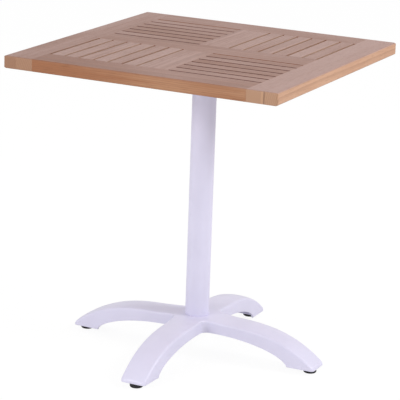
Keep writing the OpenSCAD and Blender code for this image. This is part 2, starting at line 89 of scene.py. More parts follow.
camera = put_in_scene("camera", bpy.data.cameras.new("camera"))
camera.data.lens = CAMERA_LENS
bpy.context.scene.camera = camera
to_camera = Vector((
    math.sin(CAMERA_AZIMUTH) * math.cos(CAMERA_ELEVATION),
    -math.cos(CAMERA_AZIMUTH) * math.cos(CAMERA_ELEVATION),
    math.sin(CAMERA_ELEVATION),
))
camera.matrix_world = (
    Matrix.Translation(CAMERA_TARGET + to_camera * CAMERA_DISTANCE)
    @ to_camera.to_track_quat("Z", "Y").to_matrix().to_4x4()
    @ Matrix.Rotation(CAMERA_ROLL, 4, "Z")
)
print("camera at", [round(v, 3) for v in camera.matrix_world.translation])

# %% [markdown]
# ## Sums with sockets
#
# A node tree is easier to read as a sum than as a list of links. `Value` wraps one output socket,
# and Python's operators on it add Math nodes. A Math node would turn a colour grey, so colours and
# vectors get Vector Math nodes. `Graph.add` makes every other node: its settings come first, then
# the values or links of its inputs.


# %% Values that add their own Math nodes
def both_ways(operation):
    """The method of an operator, and its reflected form, which has the other value first."""

    def plain(self, other):
        return self.graph.maths(operation, self, other)

    def reflected(self, other):
        return self.graph.maths(operation, other, self)

    return plain, reflected


class Value:
    def __init__(self, graph, socket):
        self.graph, self.socket = graph, socket

    def maths(self, operation, *others):
        return self.graph.maths(operation, self, *others)

    __add__, __radd__ = both_ways("ADD")
    __sub__, __rsub__ = both_ways("SUBTRACT")
    __mul__, __rmul__ = both_ways("MULTIPLY")
    __truediv__, __rtruediv__ = both_ways("DIVIDE")
    __mod__, __rmod__ = both_ways("MODULO")


def is_vector(value):
    """True for three numbers, and for a vector or colour socket."""
    if isinstance(value, Value):
        return value.socket.type in {"VECTOR", "RGBA"}
    return isinstance(value, (tuple, Vector))


print("operators on sockets are ready")


# %% A graph that adds any node
class Graph:
    def __init__(self, tree):
        self.tree = tree

    def maths(self, operation, *values):
        """A Math node, or a Vector Math node where a value is a vector or a colour."""
        kind = "ShaderNodeMath"
        if any(is_vector(value) for value in values):
            kind = "ShaderNodeVectorMath"
            values = [(value,) * 3 if isinstance(value, (int, float)) else value for value in values]
        return self.add(kind, {"operation": operation}, dict(enumerate(values)))

    def add(self, kind, settings=None, inputs=None, out=0):
        node = self.tree.nodes.new(kind)
        for name, setting in (settings or {}).items():
            setattr(node, name, setting)
        for key, value in (inputs or {}).items():
            if isinstance(value, Value):
                self.tree.links.new(value.socket, node.inputs[key])
            else:
                node.inputs[key].default_value = value
        if not node.outputs:
            return None
        return Value(self, node.outputs[out])


def split(graph, triple):
    """The X, Y and Z parts of a vector."""
    node = graph.add("ShaderNodeSeparateXYZ", None, {0: triple}).socket.node
    return [Value(graph, socket) for socket in node.outputs]


print("graphs are ready")

# %% [markdown]
# ## The studio
#
# The picture shows the table cut out on white. More light would whiten the background, but it would
# bleach the table as well. So the floor is pale paper, and Is Camera Ray of the Light Path node
# turns it nearly white for the camera alone, with a trace of shadow. The world does the same for
# camera, glossy and transmission rays. The key light hangs high on the right, which darkens the
# column under the top and throws the column's shadow to the left, and a fill light stands in front.


# %% Small helpers for finishes
def rgb(r, g, b):
    """A colour given as it looks on a screen, from 0 to 255, in Blender's linear values."""
    return (*(((c / 255 + 0.055) / 1.055) ** 2.4 if c > 10 else c / 3295 for c in (r, g, b)), 1.0)


def new_material(name):
    material = bpy.data.materials.new(name)
    material.use_nodes = True
    material.node_tree.nodes.clear()
    return material, Graph(material.node_tree)


def finish_material(graph, shader):
    graph.add("ShaderNodeOutputMaterial", None, {"Surface": shader})


def light_path(graph, ray):
    return graph.add("ShaderNodeLightPath", out=ray)


print("mid grey is", round(rgb(128, 128, 128)[0], 3), "in linear light")

# %% Floor
FLOOR_RADIUS = 30.0
FLOOR_SIDES = 64
FLOOR_LIFT = 0.90
FLOOR_GLOW = 1.035
FLOOR_COLOUR = rgb(240, 240, 240)


def paper():
    """White paper that is clear from below, so that the base can be looked at from there."""
    material, graph = new_material("studio_floor")
    matt = graph.add("ShaderNodeBsdfDiffuse", None, {"Color": FLOOR_COLOUR})
    white = graph.add("ShaderNodeEmission", None, {"Strength": FLOOR_GLOW})
    lift = light_path(graph, "Is Camera Ray") * FLOOR_LIFT
    lifted = graph.add("ShaderNodeMixShader", None, {0: lift, 1: matt, 2: white})
    clear = graph.add("ShaderNodeBsdfTransparent")
    back = graph.add("ShaderNodeNewGeometry", out="Backfacing")
    finish_material(graph, graph.add("ShaderNodeMixShader", None, {0: back, 1: lifted, 2: clear}))
    return material


def make_floor():
    mesh = bpy.data.meshes.new("studio_floor")
    bm = bmesh.new()
    bmesh.ops.create_circle(bm, cap_ends=True, radius=FLOOR_RADIUS, segments=FLOOR_SIDES)
    bm.to_mesh(mesh)
    bm.free()
    mesh.materials.append(paper())
    put_in_scene("studio_floor", mesh)


make_floor()
print("floor radius in metres:", FLOOR_RADIUS)

# %% World and lamps
WORLD_LIGHT = 0.66
LAMPS = {
    "key": {"at": (3.0, 0.6, 2.7), "size": 1.5, "power": 60},
    "fill": {"at": (-1.8, -4.0, 1.9), "size": 1.8, "power": 60},
}
LAMP_TARGET = Vector((0, 0, 0.45))


def make_world():
    world = bpy.data.worlds.new("studio")
    world.use_nodes = True
    world.node_tree.nodes.clear()
    graph = Graph(world.node_tree)
    rays = [light_path(graph, f"Is {ray} Ray") for ray in ("Camera", "Glossy", "Transmission")]
    seen = rays[0].maths("MAXIMUM", rays[1]).maths("MAXIMUM", rays[2])
    strength = WORLD_LIGHT + seen * (1 - WORLD_LIGHT)
    light = graph.add("ShaderNodeBackground", None, {"Color": (1, 1, 1, 1), "Strength": strength})
    graph.add("ShaderNodeOutputWorld", None, {"Surface": light})
    bpy.context.scene.world = world


def make_lamp(name, at, size, power):
    data = bpy.data.lights.new(name, "AREA")
    data.shape, data.size, data.energy = "DISK", size, power
    away = Vector(at) - LAMP_TARGET
    turn = away.to_track_quat("Z", "Y").to_matrix().to_4x4()
    put_in_scene(name, data).matrix_world = Matrix.Translation(at) @ turn


make_world()
for lamp_name, lamp in LAMPS.items():
    make_lamp(lamp_name, **lamp)
bpy.context.scene.view_settings.view_transform = "Standard"
print("lamps:", ", ".join(LAMPS))

# %% [markdown]
# ## The figure of teak
#
# A teak board is a slice of a log: its growth rings are cylinders round the log's heart, so they
# show as long lines on the faces and as arcs on the ends. A picture of wood wrapped round a board
# would have ends that don't agree with its faces. Here each board carries its own place in the log
# in the attribute `grain` (along, across and through, in metres from the heart), its own tone in
# `board`, and its direction in `along`. One shader then gives faces, edges and end grain, and no
# two boards look alike.


# %% Noise, mixes and steps
MID_NOISE = 0.5


def noise(graph, place, scale=1.0, detail=2.0, roughness=0.5):
    inputs = {"Vector": place, "Scale": scale, "Detail": detail, "Roughness": roughness}
    return graph.add("ShaderNodeTexNoise", None, inputs)


def mix(graph, factor, a, b):
    return graph.add("ShaderNodeMix", {"data_type": "RGBA"}, {0: factor, 6: a, 7: b}, out=2)


def ramp(graph, value, low, high):
    """0 below low, 1 above high, and a smooth step between."""
    inputs = {"Value": value, "From Min": low, "From Max": high}
    return graph.add("ShaderNodeMapRange", {"interpolation_type": "SMOOTHSTEP"}, inputs)


def either_way(graph, value, low, high):
    """A smooth step on the size of a value, whichever its sign."""
    return ramp(graph, value.maths("ABSOLUTE"), low, high)


def attribute(graph, name, out="Vector"):
    return graph.add("ShaderNodeAttribute", {"attribute_name": name}, out=out)


print("noise, mixes and steps are ready")

# %% Rings, streaks, fibres and pores
RING_SPACING = 4.2 * MM
RING_WANDER = 6 * MM
LATE_WOOD = (0.2, 0.9)
YEAR_END = (0.92, 1.0)
PORE_EDGE = (0.60, 0.70)
# How often each part of the figure changes in a metre: along the grain, across it and through it.
WANDER_SCALE = (2.5, 16, 16)
DRIFT_SCALE = (4, 9, 9)
STREAK_SCALE = (5, 110, 110)
FIBRE_SCALE = (22, 900, 900)
PORE_SCALE = (34, 1700, 1700)


def ring_bands(graph, grain):
    """0 in pale early wood, rising to 1 in the dark line that ends each year."""
    wander = noise(graph, grain * WANDER_SCALE, detail=1.0) - MID_NOISE
    across = grain * (0, 1, 1)
    radius = graph.add("ShaderNodeVectorMath", {"operation": "LENGTH"}, {0: across}, out="Value")
    year = ((radius + wander * RING_WANDER) / RING_SPACING).maths("FRACT")
    return ramp(graph, year, *LATE_WOOD) * (1 - ramp(graph, year, *YEAR_END))


def wood_figure(graph):
    """The rings, drift, streaks, fibres and pores at a place in the log, each from 0 to 1."""
    grain = attribute(graph, "grain")
    rings = ring_bands(graph, grain)
    drift = noise(graph, grain * DRIFT_SCALE, detail=1.0)
    streaks = noise(graph, grain * STREAK_SCALE, detail=3.0)
    fibres = noise(graph, grain * FIBRE_SCALE)
    pores = ramp(graph, noise(graph, grain * PORE_SCALE, detail=1.0), *PORE_EDGE)
    return rings, drift, streaks, fibres, pores


print(f"a growth ring is {RING_SPACING / MM:.1f} mm wide")

# %% [markdown]
# ## The colours of teak
#
# The faces run from pale straw to warm brown, and the ends are plainer. One end in the photograph
# has two marks: the right stile shows the dark glue line between its two boards, and beside it a
# pale band of sapwood. They could be drawn as a picture, but both are only bands at a distance from
# the seam, so the place of a point gives them.

# %% Colours of the wood
TEAK_PALE = rgb(206, 161, 130)
TEAK_MID = rgb(160, 102, 65)
TEAK_DARK = rgb(128, 82, 58)
TEAK_PORE = rgb(98, 64, 47)
TEAK_END = rgb(188, 147, 122)
STREAK_CONTRAST = 0.7
RINGS_ON_FACES = 0.26
FIBRES_ON_FACES = 0.14


def colour_of_faces(graph, figure, board):
    rings, drift, streaks, fibres, _ = figure
    paleness = board + (streaks - MID_NOISE) * STREAK_CONTRAST + (drift - MID_NOISE) * STREAK_CONTRAST
    face = mix(graph, ramp(graph, paleness, 0.0, 1.0), TEAK_MID, TEAK_PALE)
    return mix(graph, rings * RINGS_ON_FACES + fibres * FIBRES_ON_FACES, face, TEAK_DARK)


print("the palest teak is", [round(part, 3) for part in TEAK_PALE[:3]])

# %% End grain, glue line and sapwood
RINGS_ON_ENDS = 0.2
END_DARKNESS = 0.06
DARK_BOARD = 0.7
DARK_BOARD_CONTRAST = 1.5
SAPWOOD_WIDTH = 3 * MM
SAPWOOD_PLACE = 5 * MM
SAPWOOD_PALENESS = 0.5
GLUE_WIDTH = 1.6 * MM
GLUE_DARKNESS = 0.6


def near_seam(graph, offset, width):
    """1 at an offset inwards from the seam of the right stile's boards, 0 a width away from there."""
    x, _, _ = split(graph, graph.add("ShaderNodeTexCoord", out="Object"))
    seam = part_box("stile_right_outer")[0].x
    return 1 - either_way(graph, x - (seam - offset), width / 2, width)


def colour_of_ends(graph, figure, board):
    rings = figure[0]
    of_dark_boards = ((DARK_BOARD - board) * DARK_BOARD_CONTRAST).maths("MAXIMUM", 0.0)
    ends = mix(graph, rings * RINGS_ON_ENDS + END_DARKNESS + of_dark_boards, TEAK_END, TEAK_DARK)
    sapwood = near_seam(graph, SAPWOOD_PLACE, SAPWOOD_WIDTH)
    ends = mix(graph, sapwood * SAPWOOD_PALENESS, ends, TEAK_PALE)
    return mix(graph, near_seam(graph, 0, GLUE_WIDTH) * GLUE_DARKNESS, ends, TEAK_PORE)


print(f"the glue line is {GLUE_WIDTH / MM:.1f} mm wide")

# %% [markdown]
# ## Painted shade on the wood
#
# Seen from the front, the top looks grey and rosy, while its outer sides are orange, and the gaps
# between the slats are dark. Coloured lamps could do this, but they would tint the white metal too.
# So light and shade are painted into the colour: each side of a board has a painted shade of its
# own, the direction of a face chooses it, and upright faces away from the rim count as the sides of
# gaps, whose walls get painted shadow.

# %% Painted shade by side
# Painted shade on the top: up-facing faces are darkened and greyed, standing in for less light from
# above.
PAINTED_SHADE_ON_TOP = (0.725, 0.77, 1.05, 1)
# Painted shade on down-facing faces, where shadow falls under the boards.
PAINTED_SHADE_BELOW = (0.80, 0.76, 0.74, 1)
# A warmer tint painted on the outer front and back faces, for how the light falls on them.
PAINTED_TINT_IN_FRONT = (0.99, 0.97, 0.88, 1)
# Painted shade, kept light, on gap walls that face the sides, where the key light reaches in.
PAINTED_SHADE_ALONG_GAPS = (0.78, 0.87, 1.0, 1)
# Painted shadow on the slats' walls that face the front and back, deep in the gaps.
PAINTED_SHADOW_ACROSS_GAPS = (0.28, 0.17, 0.16, 1)
# A lighter painted shade on the frame's inner walls that face the front and back at the gaps.
PAINTED_SHADE_BESIDE_SLATS = (0.85, 0.74, 0.72, 1)
NO_SHADE = (1, 1, 1, 1)
RIM_WIDTH = 12 * MM
# How far a face has to look upwards, to the front or to the side for its painted shade to begin and be
# full.
UPWARDS = (0.5, 0.9)
FRONTWARDS = (0.25, 0.8)
SIDEWARDS = (0.4, 0.9)


# This mask keeps the painted gap shade off the table's outer sides.
def inside_the_rim(graph):
    """1 on the table's inner parts, falling to 0 at its outer sides."""
    place = graph.add("ShaderNodeTexCoord", out="Object").maths("ABSOLUTE")
    x, y, _ = split(graph, place)
    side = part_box("stile_right_outer")[1].x
    return 1 - ramp(graph, x.maths("MAXIMUM", y), side - RIM_WIDTH, side - RIM_WIDTH / 2)


# Paints light and shade into the colour by the direction of each face: painted shade on the top and
# below, a warmer painted tint on the outer front and back, and painted shade on the walls of the gaps.
def paint_shade_by_side(graph, colour, normal, painted_gap_shade):
    right, back, up = split(graph, normal)
    inside = inside_the_rim(graph)
    across = either_way(graph, back, *FRONTWARDS)
    shades = (
        (ramp(graph, up, *UPWARDS), PAINTED_SHADE_ON_TOP),
        (ramp(graph, up * -1, *UPWARDS), PAINTED_SHADE_BELOW),
        (across * (1 - inside), PAINTED_TINT_IN_FRONT),
        (across * inside, painted_gap_shade),
        (either_way(graph, right, *SIDEWARDS) * inside, PAINTED_SHADE_ALONG_GAPS),
    )
    for factor, shade in shades:
        colour = colour * mix(graph, factor, NO_SHADE, shade)
    return colour


print(f"the rim's own colour reaches {RIM_WIDTH / MM:.0f} mm in")

# %% Teak finishes for the frame and the slats
PORE_DARKNESS = 0.36
TEAK_ROUGHNESS = 0.42
ROUGHER_STREAKS = 0.12
ROUGHER_PORES = 0.15
TEAK_RELIEF = 0.12 * MM
TEAK_BUMP = 0.5
FIBRE_HEIGHT = 0.5
LOOKS_ALONG_GRAIN = (0.6, 0.8)


def end_grain(graph, normal):
    """1 on faces that look along the grain, and 0 on the long sides."""
    inputs = {0: normal, 1: attribute(graph, "along")}
    facing = graph.add("ShaderNodeVectorMath", {"operation": "DOT_PRODUCT"}, inputs, out="Value")
    return either_way(graph, facing, *LOOKS_ALONG_GRAIN)


def teak(name, painted_gap_shade):
    material, graph = new_material(name)
    figure, board = wood_figure(graph), attribute(graph, "board", "Fac")
    _, _, streaks, fibres, pores = figure
    normal = graph.add("ShaderNodeTexCoord", out="Normal")
    face, ends = colour_of_faces(graph, figure, board), colour_of_ends(graph, figure, board)
    wood = mix(graph, end_grain(graph, normal), face, ends)
    wood = mix(graph, pores * PORE_DARKNESS, wood, TEAK_PORE)
    height = fibres * FIBRE_HEIGHT - pores
    relief = {"Strength": TEAK_BUMP, "Distance": TEAK_RELIEF, "Height": height}
    inputs = {
        # The base colour carries the painted shade of each side of the board.
        "Base Color": paint_shade_by_side(graph, wood, normal, painted_gap_shade),
        "Roughness": TEAK_ROUGHNESS + streaks * ROUGHER_STREAKS + pores * ROUGHER_PORES,
        "Normal": graph.add("ShaderNodeBump", None, relief),
    }
    finish_material(graph, graph.add("ShaderNodeBsdfPrincipled", None, inputs))
    return material


# The frame's walls at the gaps get a lighter painted shade than the slats' walls.
finishes = {
    "teak_frame": teak("teak_frame", PAINTED_SHADE_BESIDE_SLATS),
    "teak_slat": teak("teak_slat", PAINTED_SHADOW_ACROSS_GAPS),
}
print("teak finishes:", ", ".join(finishes))

# %% [markdown]
# ## Powder coat, plating, rubber and plastic
#
# The base and the column have a satin white powder coat with a trace of violet, whose surface has
# a very fine orange peel. The fasteners are bright zinc, the glides and the rest buffer are matt
# rubber, the latch is moulded plastic, and the bushes are nylon. A plain colour on each would look
# flat up close, so one helper adds a slow change of tone, an uneven gloss and a fine grain. It uses
# Object coordinates, because every piece keeps its place in its mesh.

# %% Metal, rubber and plastic finishes
TONE_SCALE = 11
TONE_EDGE = (0.35, 0.65)
GLOSS_SCALE = 60
GLOSS_SPREAD = 0.10
FINE_BUMP = 0.6
FINISHES = {
    "white_metal": {
        "colours": (rgb(221, 218, 240), rgb(225, 222, 244)), "roughness": 0.36,
        "grain": 700, "relief": 0.05 * MM,
    },
    "zinc_steel": {
        "colours": (rgb(170, 172, 176), rgb(190, 191, 193)), "roughness": 0.34,
        "grain": 1500, "relief": 0.02 * MM, "metallic": 1.0,
    },
    "black_rubber": {
        "colours": (rgb(24, 24, 26), rgb(33, 33, 35)), "roughness": 0.72,
        "grain": 1300, "relief": 0.08 * MM,
    },
    "black_plastic": {
        "colours": (rgb(30, 30, 32), rgb(38, 38, 40)), "roughness": 0.5,
        "grain": 1800, "relief": 0.06 * MM,
    },
    "nylon": {
        "colours": (rgb(226, 223, 210), rgb(232, 230, 220)), "roughness": 0.42,
        "grain": 900, "relief": 0.03 * MM,
    },
}


def object_noise(graph, scale):
    return noise(graph, graph.add("ShaderNodeTexCoord", out="Object"), scale)


def moulded(name, colours, roughness, grain, relief, metallic=0.0):
    material, graph = new_material(name)
    tone = ramp(graph, object_noise(graph, TONE_SCALE), *TONE_EDGE)
    bump = {"Strength": FINE_BUMP, "Distance": relief, "Height": object_noise(graph, grain)}
    inputs = {
        "Base Color": mix(graph, tone, *colours),
        "Roughness": roughness + (object_noise(graph, GLOSS_SCALE) - MID_NOISE) * GLOSS_SPREAD,
        "Metallic": metallic,
        "Normal": graph.add("ShaderNodeBump", None, bump),
    }
    finish_material(graph, graph.add("ShaderNodeBsdfPrincipled", None, inputs))
    return material


for finish_name, look in FINISHES.items():
    finishes[finish_name] = moulded(finish_name, **look)
print("finishes:", ", ".join(finishes))

# %% [markdown]
# ## From a mesh to a piece
#
# A piece could keep its modifiers live, but then its mesh would not be known until the render. So
# the modifiers of a piece are settled into a plain mesh, and one function gives the mesh its finish,
# lets it ride on its body, and hides the nodes of the model that it stands for. Weighted normals
# keep large flat faces flat beside their rounded edges.

# %% Settle a mesh
WEIGHTED = ("WEIGHTED_NORMAL", {"mode": "FACE_AREA", "weight": 100, "keep_sharp": True})
MERGE_DISTANCE = 0.005 * MM


def mesh_of(bm, name):
    """Turns a bmesh into a mesh with outward faces and smooth shading."""
    bmesh.ops.remove_doubles(bm, verts=bm.verts, dist=MERGE_DISTANCE)
    bmesh.ops.recalc_face_normals(bm, faces=bm.faces)
    for face in bm.faces:
        face.smooth = True
    mesh = bpy.data.meshes.new(name)
    bm.to_mesh(mesh)
    bm.free()
    return mesh


def evaluated_mesh(item):
    """A plain mesh of an object as its modifiers leave it."""
    depsgraph = bpy.context.evaluated_depsgraph_get()
    return bpy.data.meshes.new_from_object(
        item.evaluated_get(depsgraph), preserve_all_data_layers=True, depsgraph=depsgraph
    )


def settle(name, mesh, *modifiers):
    """The mesh with these modifiers applied, each a type and its settings, and weighted normals last."""
    carrier = put_in_scene(f"{name}_carrier", mesh)
    for kind, settings in (*modifiers, WEIGHTED):
        modifier = carrier.modifiers.new(kind.lower(), kind)
        for key, value in settings.items():
            setattr(modifier, key, value)
    result = evaluated_mesh(carrier)
    bpy.data.objects.remove(carrier)
    result.name = name
    return result


print(f"vertices closer than {MERGE_DISTANCE / MM} mm are merged")


# %% Add a piece
def add_piece(name, mesh, finish, body, nodes):
    mesh.materials.clear()
    mesh.materials.append(finishes[finish])
    piece = put_in_scene(name, mesh)
    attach(piece, body)
    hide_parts(*nodes)
    size = (Vector(piece.bound_box[6]) - Vector(piece.bound_box[0])) / MM
    print(f"{name}: {len(mesh.polygons)} faces, {size.x:.1f} x {size.y:.1f} x {size.z:.1f} mm")
    return piece


# %% [markdown]
# ## The frame boards
#
# Nine boards make the frame: each stile is glued up from two, and the rails and dividers are
# tenoned in. Their outer edges are rounded over together after assembly, while the edges at the
# joints are only just broken, which gives the thin lines between boards. A Bevel modifier would
# round both alike. So each board is a box with three bevels: first the corner of the top, then the
# rim, then the joints.

# %% Sizes of the frame boards
CORNER_RADIUS = 6 * MM
EDGE_RADIUS = 3 * MM
JOINT_EASE = 0.35 * MM
TENON = 25 * MM
CORNER_SLACK = 0.1 * MM
SHARP_TURN = 1.0
# How much of a face's normal points up or down where the face counts as upright, or as level.
UPRIGHT_BELOW = 0.5
LEVEL_ABOVE = 0.9
half_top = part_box("stile_right_outer")[1].x
print(f"half the top is {half_top / MM:.1f} mm")


# %% Which edges get which bevel
def turns_sharply(edge):
    return edge.calc_face_angle(0) > SHARP_TURN


def at_corner(edge):
    """True for an upright edge at an outer corner of the top."""
    return all(abs(v.co.x) + abs(v.co.y) > 2 * half_top - CORNER_SLACK for v in edge.verts)


def on_rim(face):
    """True for a face of the top's outer side."""
    x, y, _ = face.calc_center_median()
    return abs(face.normal.z) < UPRIGHT_BELOW and max(abs(x), abs(y)) > half_top - CORNER_RADIUS


def at_rim(edge):
    """True for a sharp edge between the outer side and a level face."""
    level = any(abs(face.normal.z) > LEVEL_ABOVE for face in edge.link_faces)
    return level and turns_sharply(edge) and sorted(map(on_rim, edge.link_faces)) == [False, True]


print(f"an edge is sharp where it turns by more than {math.degrees(SHARP_TURN):.0f} degrees")


# %% Board mesh
def bevel(bm, wanted, radius, segments):
    bm.normal_update()
    edges = [edge for edge in bm.edges if wanted(edge)]
    settings = {"offset_type": "OFFSET", "profile": 0.5, "affect": "EDGES"}
    bmesh.ops.bevel(bm, geom=edges, offset=radius, segments=segments, **settings)


def board_mesh(name, lo, hi):
    bm = bmesh.new()
    bmesh.ops.create_cube(bm, size=1)
    size, middle = hi - lo, (hi + lo) / 2
    for vert in bm.verts:
        vert.co = Vector(c * s for c, s in zip(vert.co, size)) + middle
    bevel(bm, at_corner, CORNER_RADIUS, segments=6)
    bevel(bm, at_rim, EDGE_RADIUS, segments=5)
    bevel(bm, turns_sharply, JOINT_EASE, segments=2)
    for vert in bm.verts:
        vert.co = Vector(min(max(c, a), b) for c, a, b in zip(vert.co, lo, hi))
    return mesh_of(bm, name)


radii = (CORNER_RADIUS, EDGE_RADIUS, JOINT_EASE)
print("radii of a board's edges in mm:", [round(radius / MM, 2) for radius in radii])

# %% Each board's place in the log
# The heart says how far the board's middle lies from the start and the heart of the log, in metres.
# The tones are those of the board's two ends, where 0 is dark and 1 is pale.
BOARDS = {
    "stile_left_outer": {"along": "y", "heart": (0.4, 0.060, 0.052), "tones": (0.40, 0.64)},
    "stile_left_inner": {"along": "y", "heart": (1.3, -0.094, 0.034), "tones": (0.50, 0.54)},
    # The right stile's boards have the palest tones: partly their own colour, partly a painted reflection
    # of the light that falls on the table's right side.
    "stile_right_inner": {"along": "y", "heart": (2.1, 0.082, 0.060), "tones": (0.82, 1.10)},
    "stile_right_outer": {"along": "y", "heart": (3.2, -0.120, 0.028), "tones": (0.98, 0.80)},
    "rail_front": {"along": "x", "heart": (4.6, 0.015, 0.085), "tones": (0.12, 0.44)},
    "rail_middle": {"along": "x", "heart": (5.5, -0.030, 0.072), "tones": (0.36, 0.44)},
    "rail_back": {"along": "x", "heart": (6.7, 0.052, 0.066), "tones": (0.40, 0.52)},
    "divider_front": {"along": "y", "heart": (7.4, -0.022, 0.090), "tones": (0.62, 0.56)},
    "divider_back": {"along": "y", "heart": (8.8, 0.041, 0.064), "tones": (0.58, 0.68)},
}
AXES = {"x": Vector((1, 0, 0)), "y": Vector((0, 1, 0))}


def store(mesh, name, kind, values):
    layer = mesh.attributes.new(name, kind, "POINT")
    key = "vector" if kind == "FLOAT_VECTOR" else "value"
    layer.data.foreach_set(key, [n for v in values for n in (v if key == "vector" else (v,))])


def store_figure(mesh, lo, hi, along, heart, tones):
    """Gives a board's mesh its place in the log, its direction and its tone."""
    middle, axis = (lo + hi) / 2, "xy".index(along)
    order = (0, 1, 2) if along == "x" else (1, 0, 2)
    points = [vert.co - middle for vert in mesh.vertices]
    shares = [(vert.co[axis] - lo[axis]) / (hi[axis] - lo[axis]) for vert in mesh.vertices]
    store(mesh, "grain", "FLOAT_VECTOR", [Vector(p[k] for k in order) + Vector(heart) for p in points])
    store(mesh, "along", "FLOAT_VECTOR", [AXES[along]] * len(points))
    store(mesh, "board", "FLOAT", [tones[0] + (tones[1] - tones[0]) * share for share in shares])


print(len(BOARDS), "boards have a place in the log")


# %% Nine boards
def add_board(name, along, heart, tones):
    lo, hi = (Vector(corner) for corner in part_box(name))
    if not name.startswith("stile"):
        lo, hi = lo + AXES[along] * TENON, hi - AXES[along] * TENON
    mesh = settle(name, board_mesh(name, lo, hi))
    store_figure(mesh, lo, hi, along, heart, tones)
    add_piece(f"board_{name}", mesh, "teak_frame", "tabletop", [name])


for board_name, board in BOARDS.items():
    add_board(board_name, **board)

# %% [markdown]
# ## The slats
#
# Twenty-four equal slats fill four panels, each panel turned a quarter from the last. They could
# be modelled one by one, but they are a pattern, so a geometry tree lays them out: one eased slat
# is swept along a line and set on points that count round the panels. Random values, from a fixed
# seed, give every slat its own place in the log and its own tone before the instances are made
# real. The slats that run from front to back are made paler by a painted sheen, which stands in
# for the light their fibres throw back.


# %% Helpers for geometry trees
def geometry_tree(name, sizes):
    """A tree with one named input for each size, and its graph with those inputs as values."""
    tree = bpy.data.node_groups.new(name, "GeometryNodeTree")
    kinds = {int: "NodeSocketInt", float: "NodeSocketFloat", bpy.types.Object: "NodeSocketObject"}
    for size, value in sizes.items():
        tree.interface.new_socket(size, in_out="INPUT", socket_type=kinds[type(value)])
    tree.interface.new_socket("Geometry", in_out="OUTPUT", socket_type="NodeSocketGeometry")
    graph = Graph(tree)
    given = graph.add("NodeGroupInput").socket.node.outputs
    return graph, {size: Value(graph, given[size]) for size in sizes}


def end_tree(graph, geometry, finish):
    """Ends a tree with real geometry in one finish."""
    real = graph.add("GeometryNodeRealizeInstances", None, {"Geometry": geometry})
    inputs = {"Geometry": real, "Material": finishes[finish]}
    dressed = graph.add("GeometryNodeSetMaterial", None, inputs)
    graph.add("NodeGroupOutput", None, {"Geometry": dressed})
    return graph


def run_tree(graph, sizes):
    """Runs a tree with these sizes and returns a plain mesh."""
    carrier = put_in_scene("tree_carrier", bpy.data.meshes.new("tree_carrier"))
    modifier = carrier.modifiers.new("tree", "NODES")
    modifier.node_group = graph.tree
    for item in graph.tree.interface.items_tree:
        if item.in_out == "INPUT":
            modifier[item.identifier] = sizes[item.name]
    mesh = evaluated_mesh(carrier)
    carrier.modifiers.remove(modifier)
    bpy.data.objects.remove(carrier)
    return mesh


print("geometry trees are ready")


# %% Short names for nodes that trees often use
def vector(graph, x=0.0, y=0.0, z=0.0):
    return graph.add("ShaderNodeCombineXYZ", None, {"X": x, "Y": y, "Z": z})


def turned(graph, point, angle):
    inputs = {"Vector": point, "Angle": angle}
    return graph.add("ShaderNodeVectorRotate", {"rotation_type": "Z_AXIS"}, inputs)


def instances(graph, count, spot, instance, angle):
    """Sets an instance on each of some points, turned about the upright axis."""
    points = graph.add("GeometryNodePoints", None, {"Count": count, "Position": spot})
    turn = graph.add("FunctionNodeEulerToRotation", None, {0: vector(graph, z=angle)})
    inputs = {"Points": points, "Instance": instance, "Rotation": turn}
    return graph.add("GeometryNodeInstanceOnPoints", None, inputs)


def keep(graph, geometry, name, kind, domain, value):
    """Stores a value as a named attribute."""
    inputs = {"Geometry": geometry, "Name": name, "Value": value}
    return graph.add("GeometryNodeStoreNamedAttribute", {"data_type": kind, "domain": domain}, inputs)


def kept(graph, name):
    """Reads a named vector attribute."""
    return graph.add("GeometryNodeInputNamedAttribute", {"data_type": "FLOAT_VECTOR"}, {"Name": name})


def random_vector(graph, low, high, seed):
    inputs = {0: low, 1: high, "Seed": seed}
    return graph.add("FunctionNodeRandomValue", {"data_type": "FLOAT_VECTOR"}, inputs)


def random_number(graph, low, high, seed):
    inputs = {2: low, 3: high, "Seed": seed}
    return graph.add("FunctionNodeRandomValue", {"data_type": "FLOAT"}, inputs, out=1)


print("short names are ready")

# %% Slat sizes, read from the frame
slat_lo, slat_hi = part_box("slat_fl_1")
next_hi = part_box("slat_fl_2")[1]
divider_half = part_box("divider_front")[1].x
rail_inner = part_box("rail_front")[1].y
slat_sizes = {
    "Panels": 4,
    "Slats in a panel": 6,
    "Width": slat_hi.x - slat_lo.x,
    "Pitch": slat_hi.x - next_hi.x,
    "First slat": -(slat_lo.x + slat_hi.x) / 2,
    "Length": -divider_half - rail_inner,
    "Middle": (divider_half - rail_inner) / 2,
    "Thickness": slat_hi.z - slat_lo.z,
    "Level": (slat_lo.z + slat_hi.z) / 2,
    "Edge radius": 1.0 * MM,
    "Darkest tone": 0.24,
    "Palest tone": 0.54,
    # A painted sheen: slats that run from front to back get a paler tone, for the light their fibres
    # throw back.
    "Painted sheen along Y": 0.28,
    "Seed": 11,
}
print({key: round(value, 4) for key, value in slat_sizes.items()})


# %% One slat, swept along a line
def slat_solid(graph, size):
    inputs = {"Width": size["Width"], "Height": size["Thickness"]}
    outline = graph.add("GeometryNodeCurvePrimitiveQuadrilateral", None, inputs)
    inputs = {"Curve": outline, "Radius": size["Edge radius"], "Count": 3}
    outline = graph.add("GeometryNodeFilletCurve", {"mode": "POLY"}, inputs)
    half = size["Length"] * 0.5
    ends = {"Start": vector(graph, y=half * -1), "End": vector(graph, y=half)}
    line = graph.add("GeometryNodeCurvePrimitiveLine", None, ends)
    inputs = {"Curve": line, "Profile Curve": outline, "Fill Caps": True}
    solid = graph.add("GeometryNodeCurveToMesh", None, inputs)
    x, y, z = split(graph, graph.add("GeometryNodeInputPosition"))
    return keep(graph, solid, "grain", "FLOAT_VECTOR", "POINT", vector(graph, y, x, z))


print(f"a slat shows {slat_sizes['Length'] / MM:.1f} mm of its length")

# %% All slats
LOG_LOW = (0.0, -0.10, 0.03)
LOG_HIGH = (9.0, 0.10, 0.10)


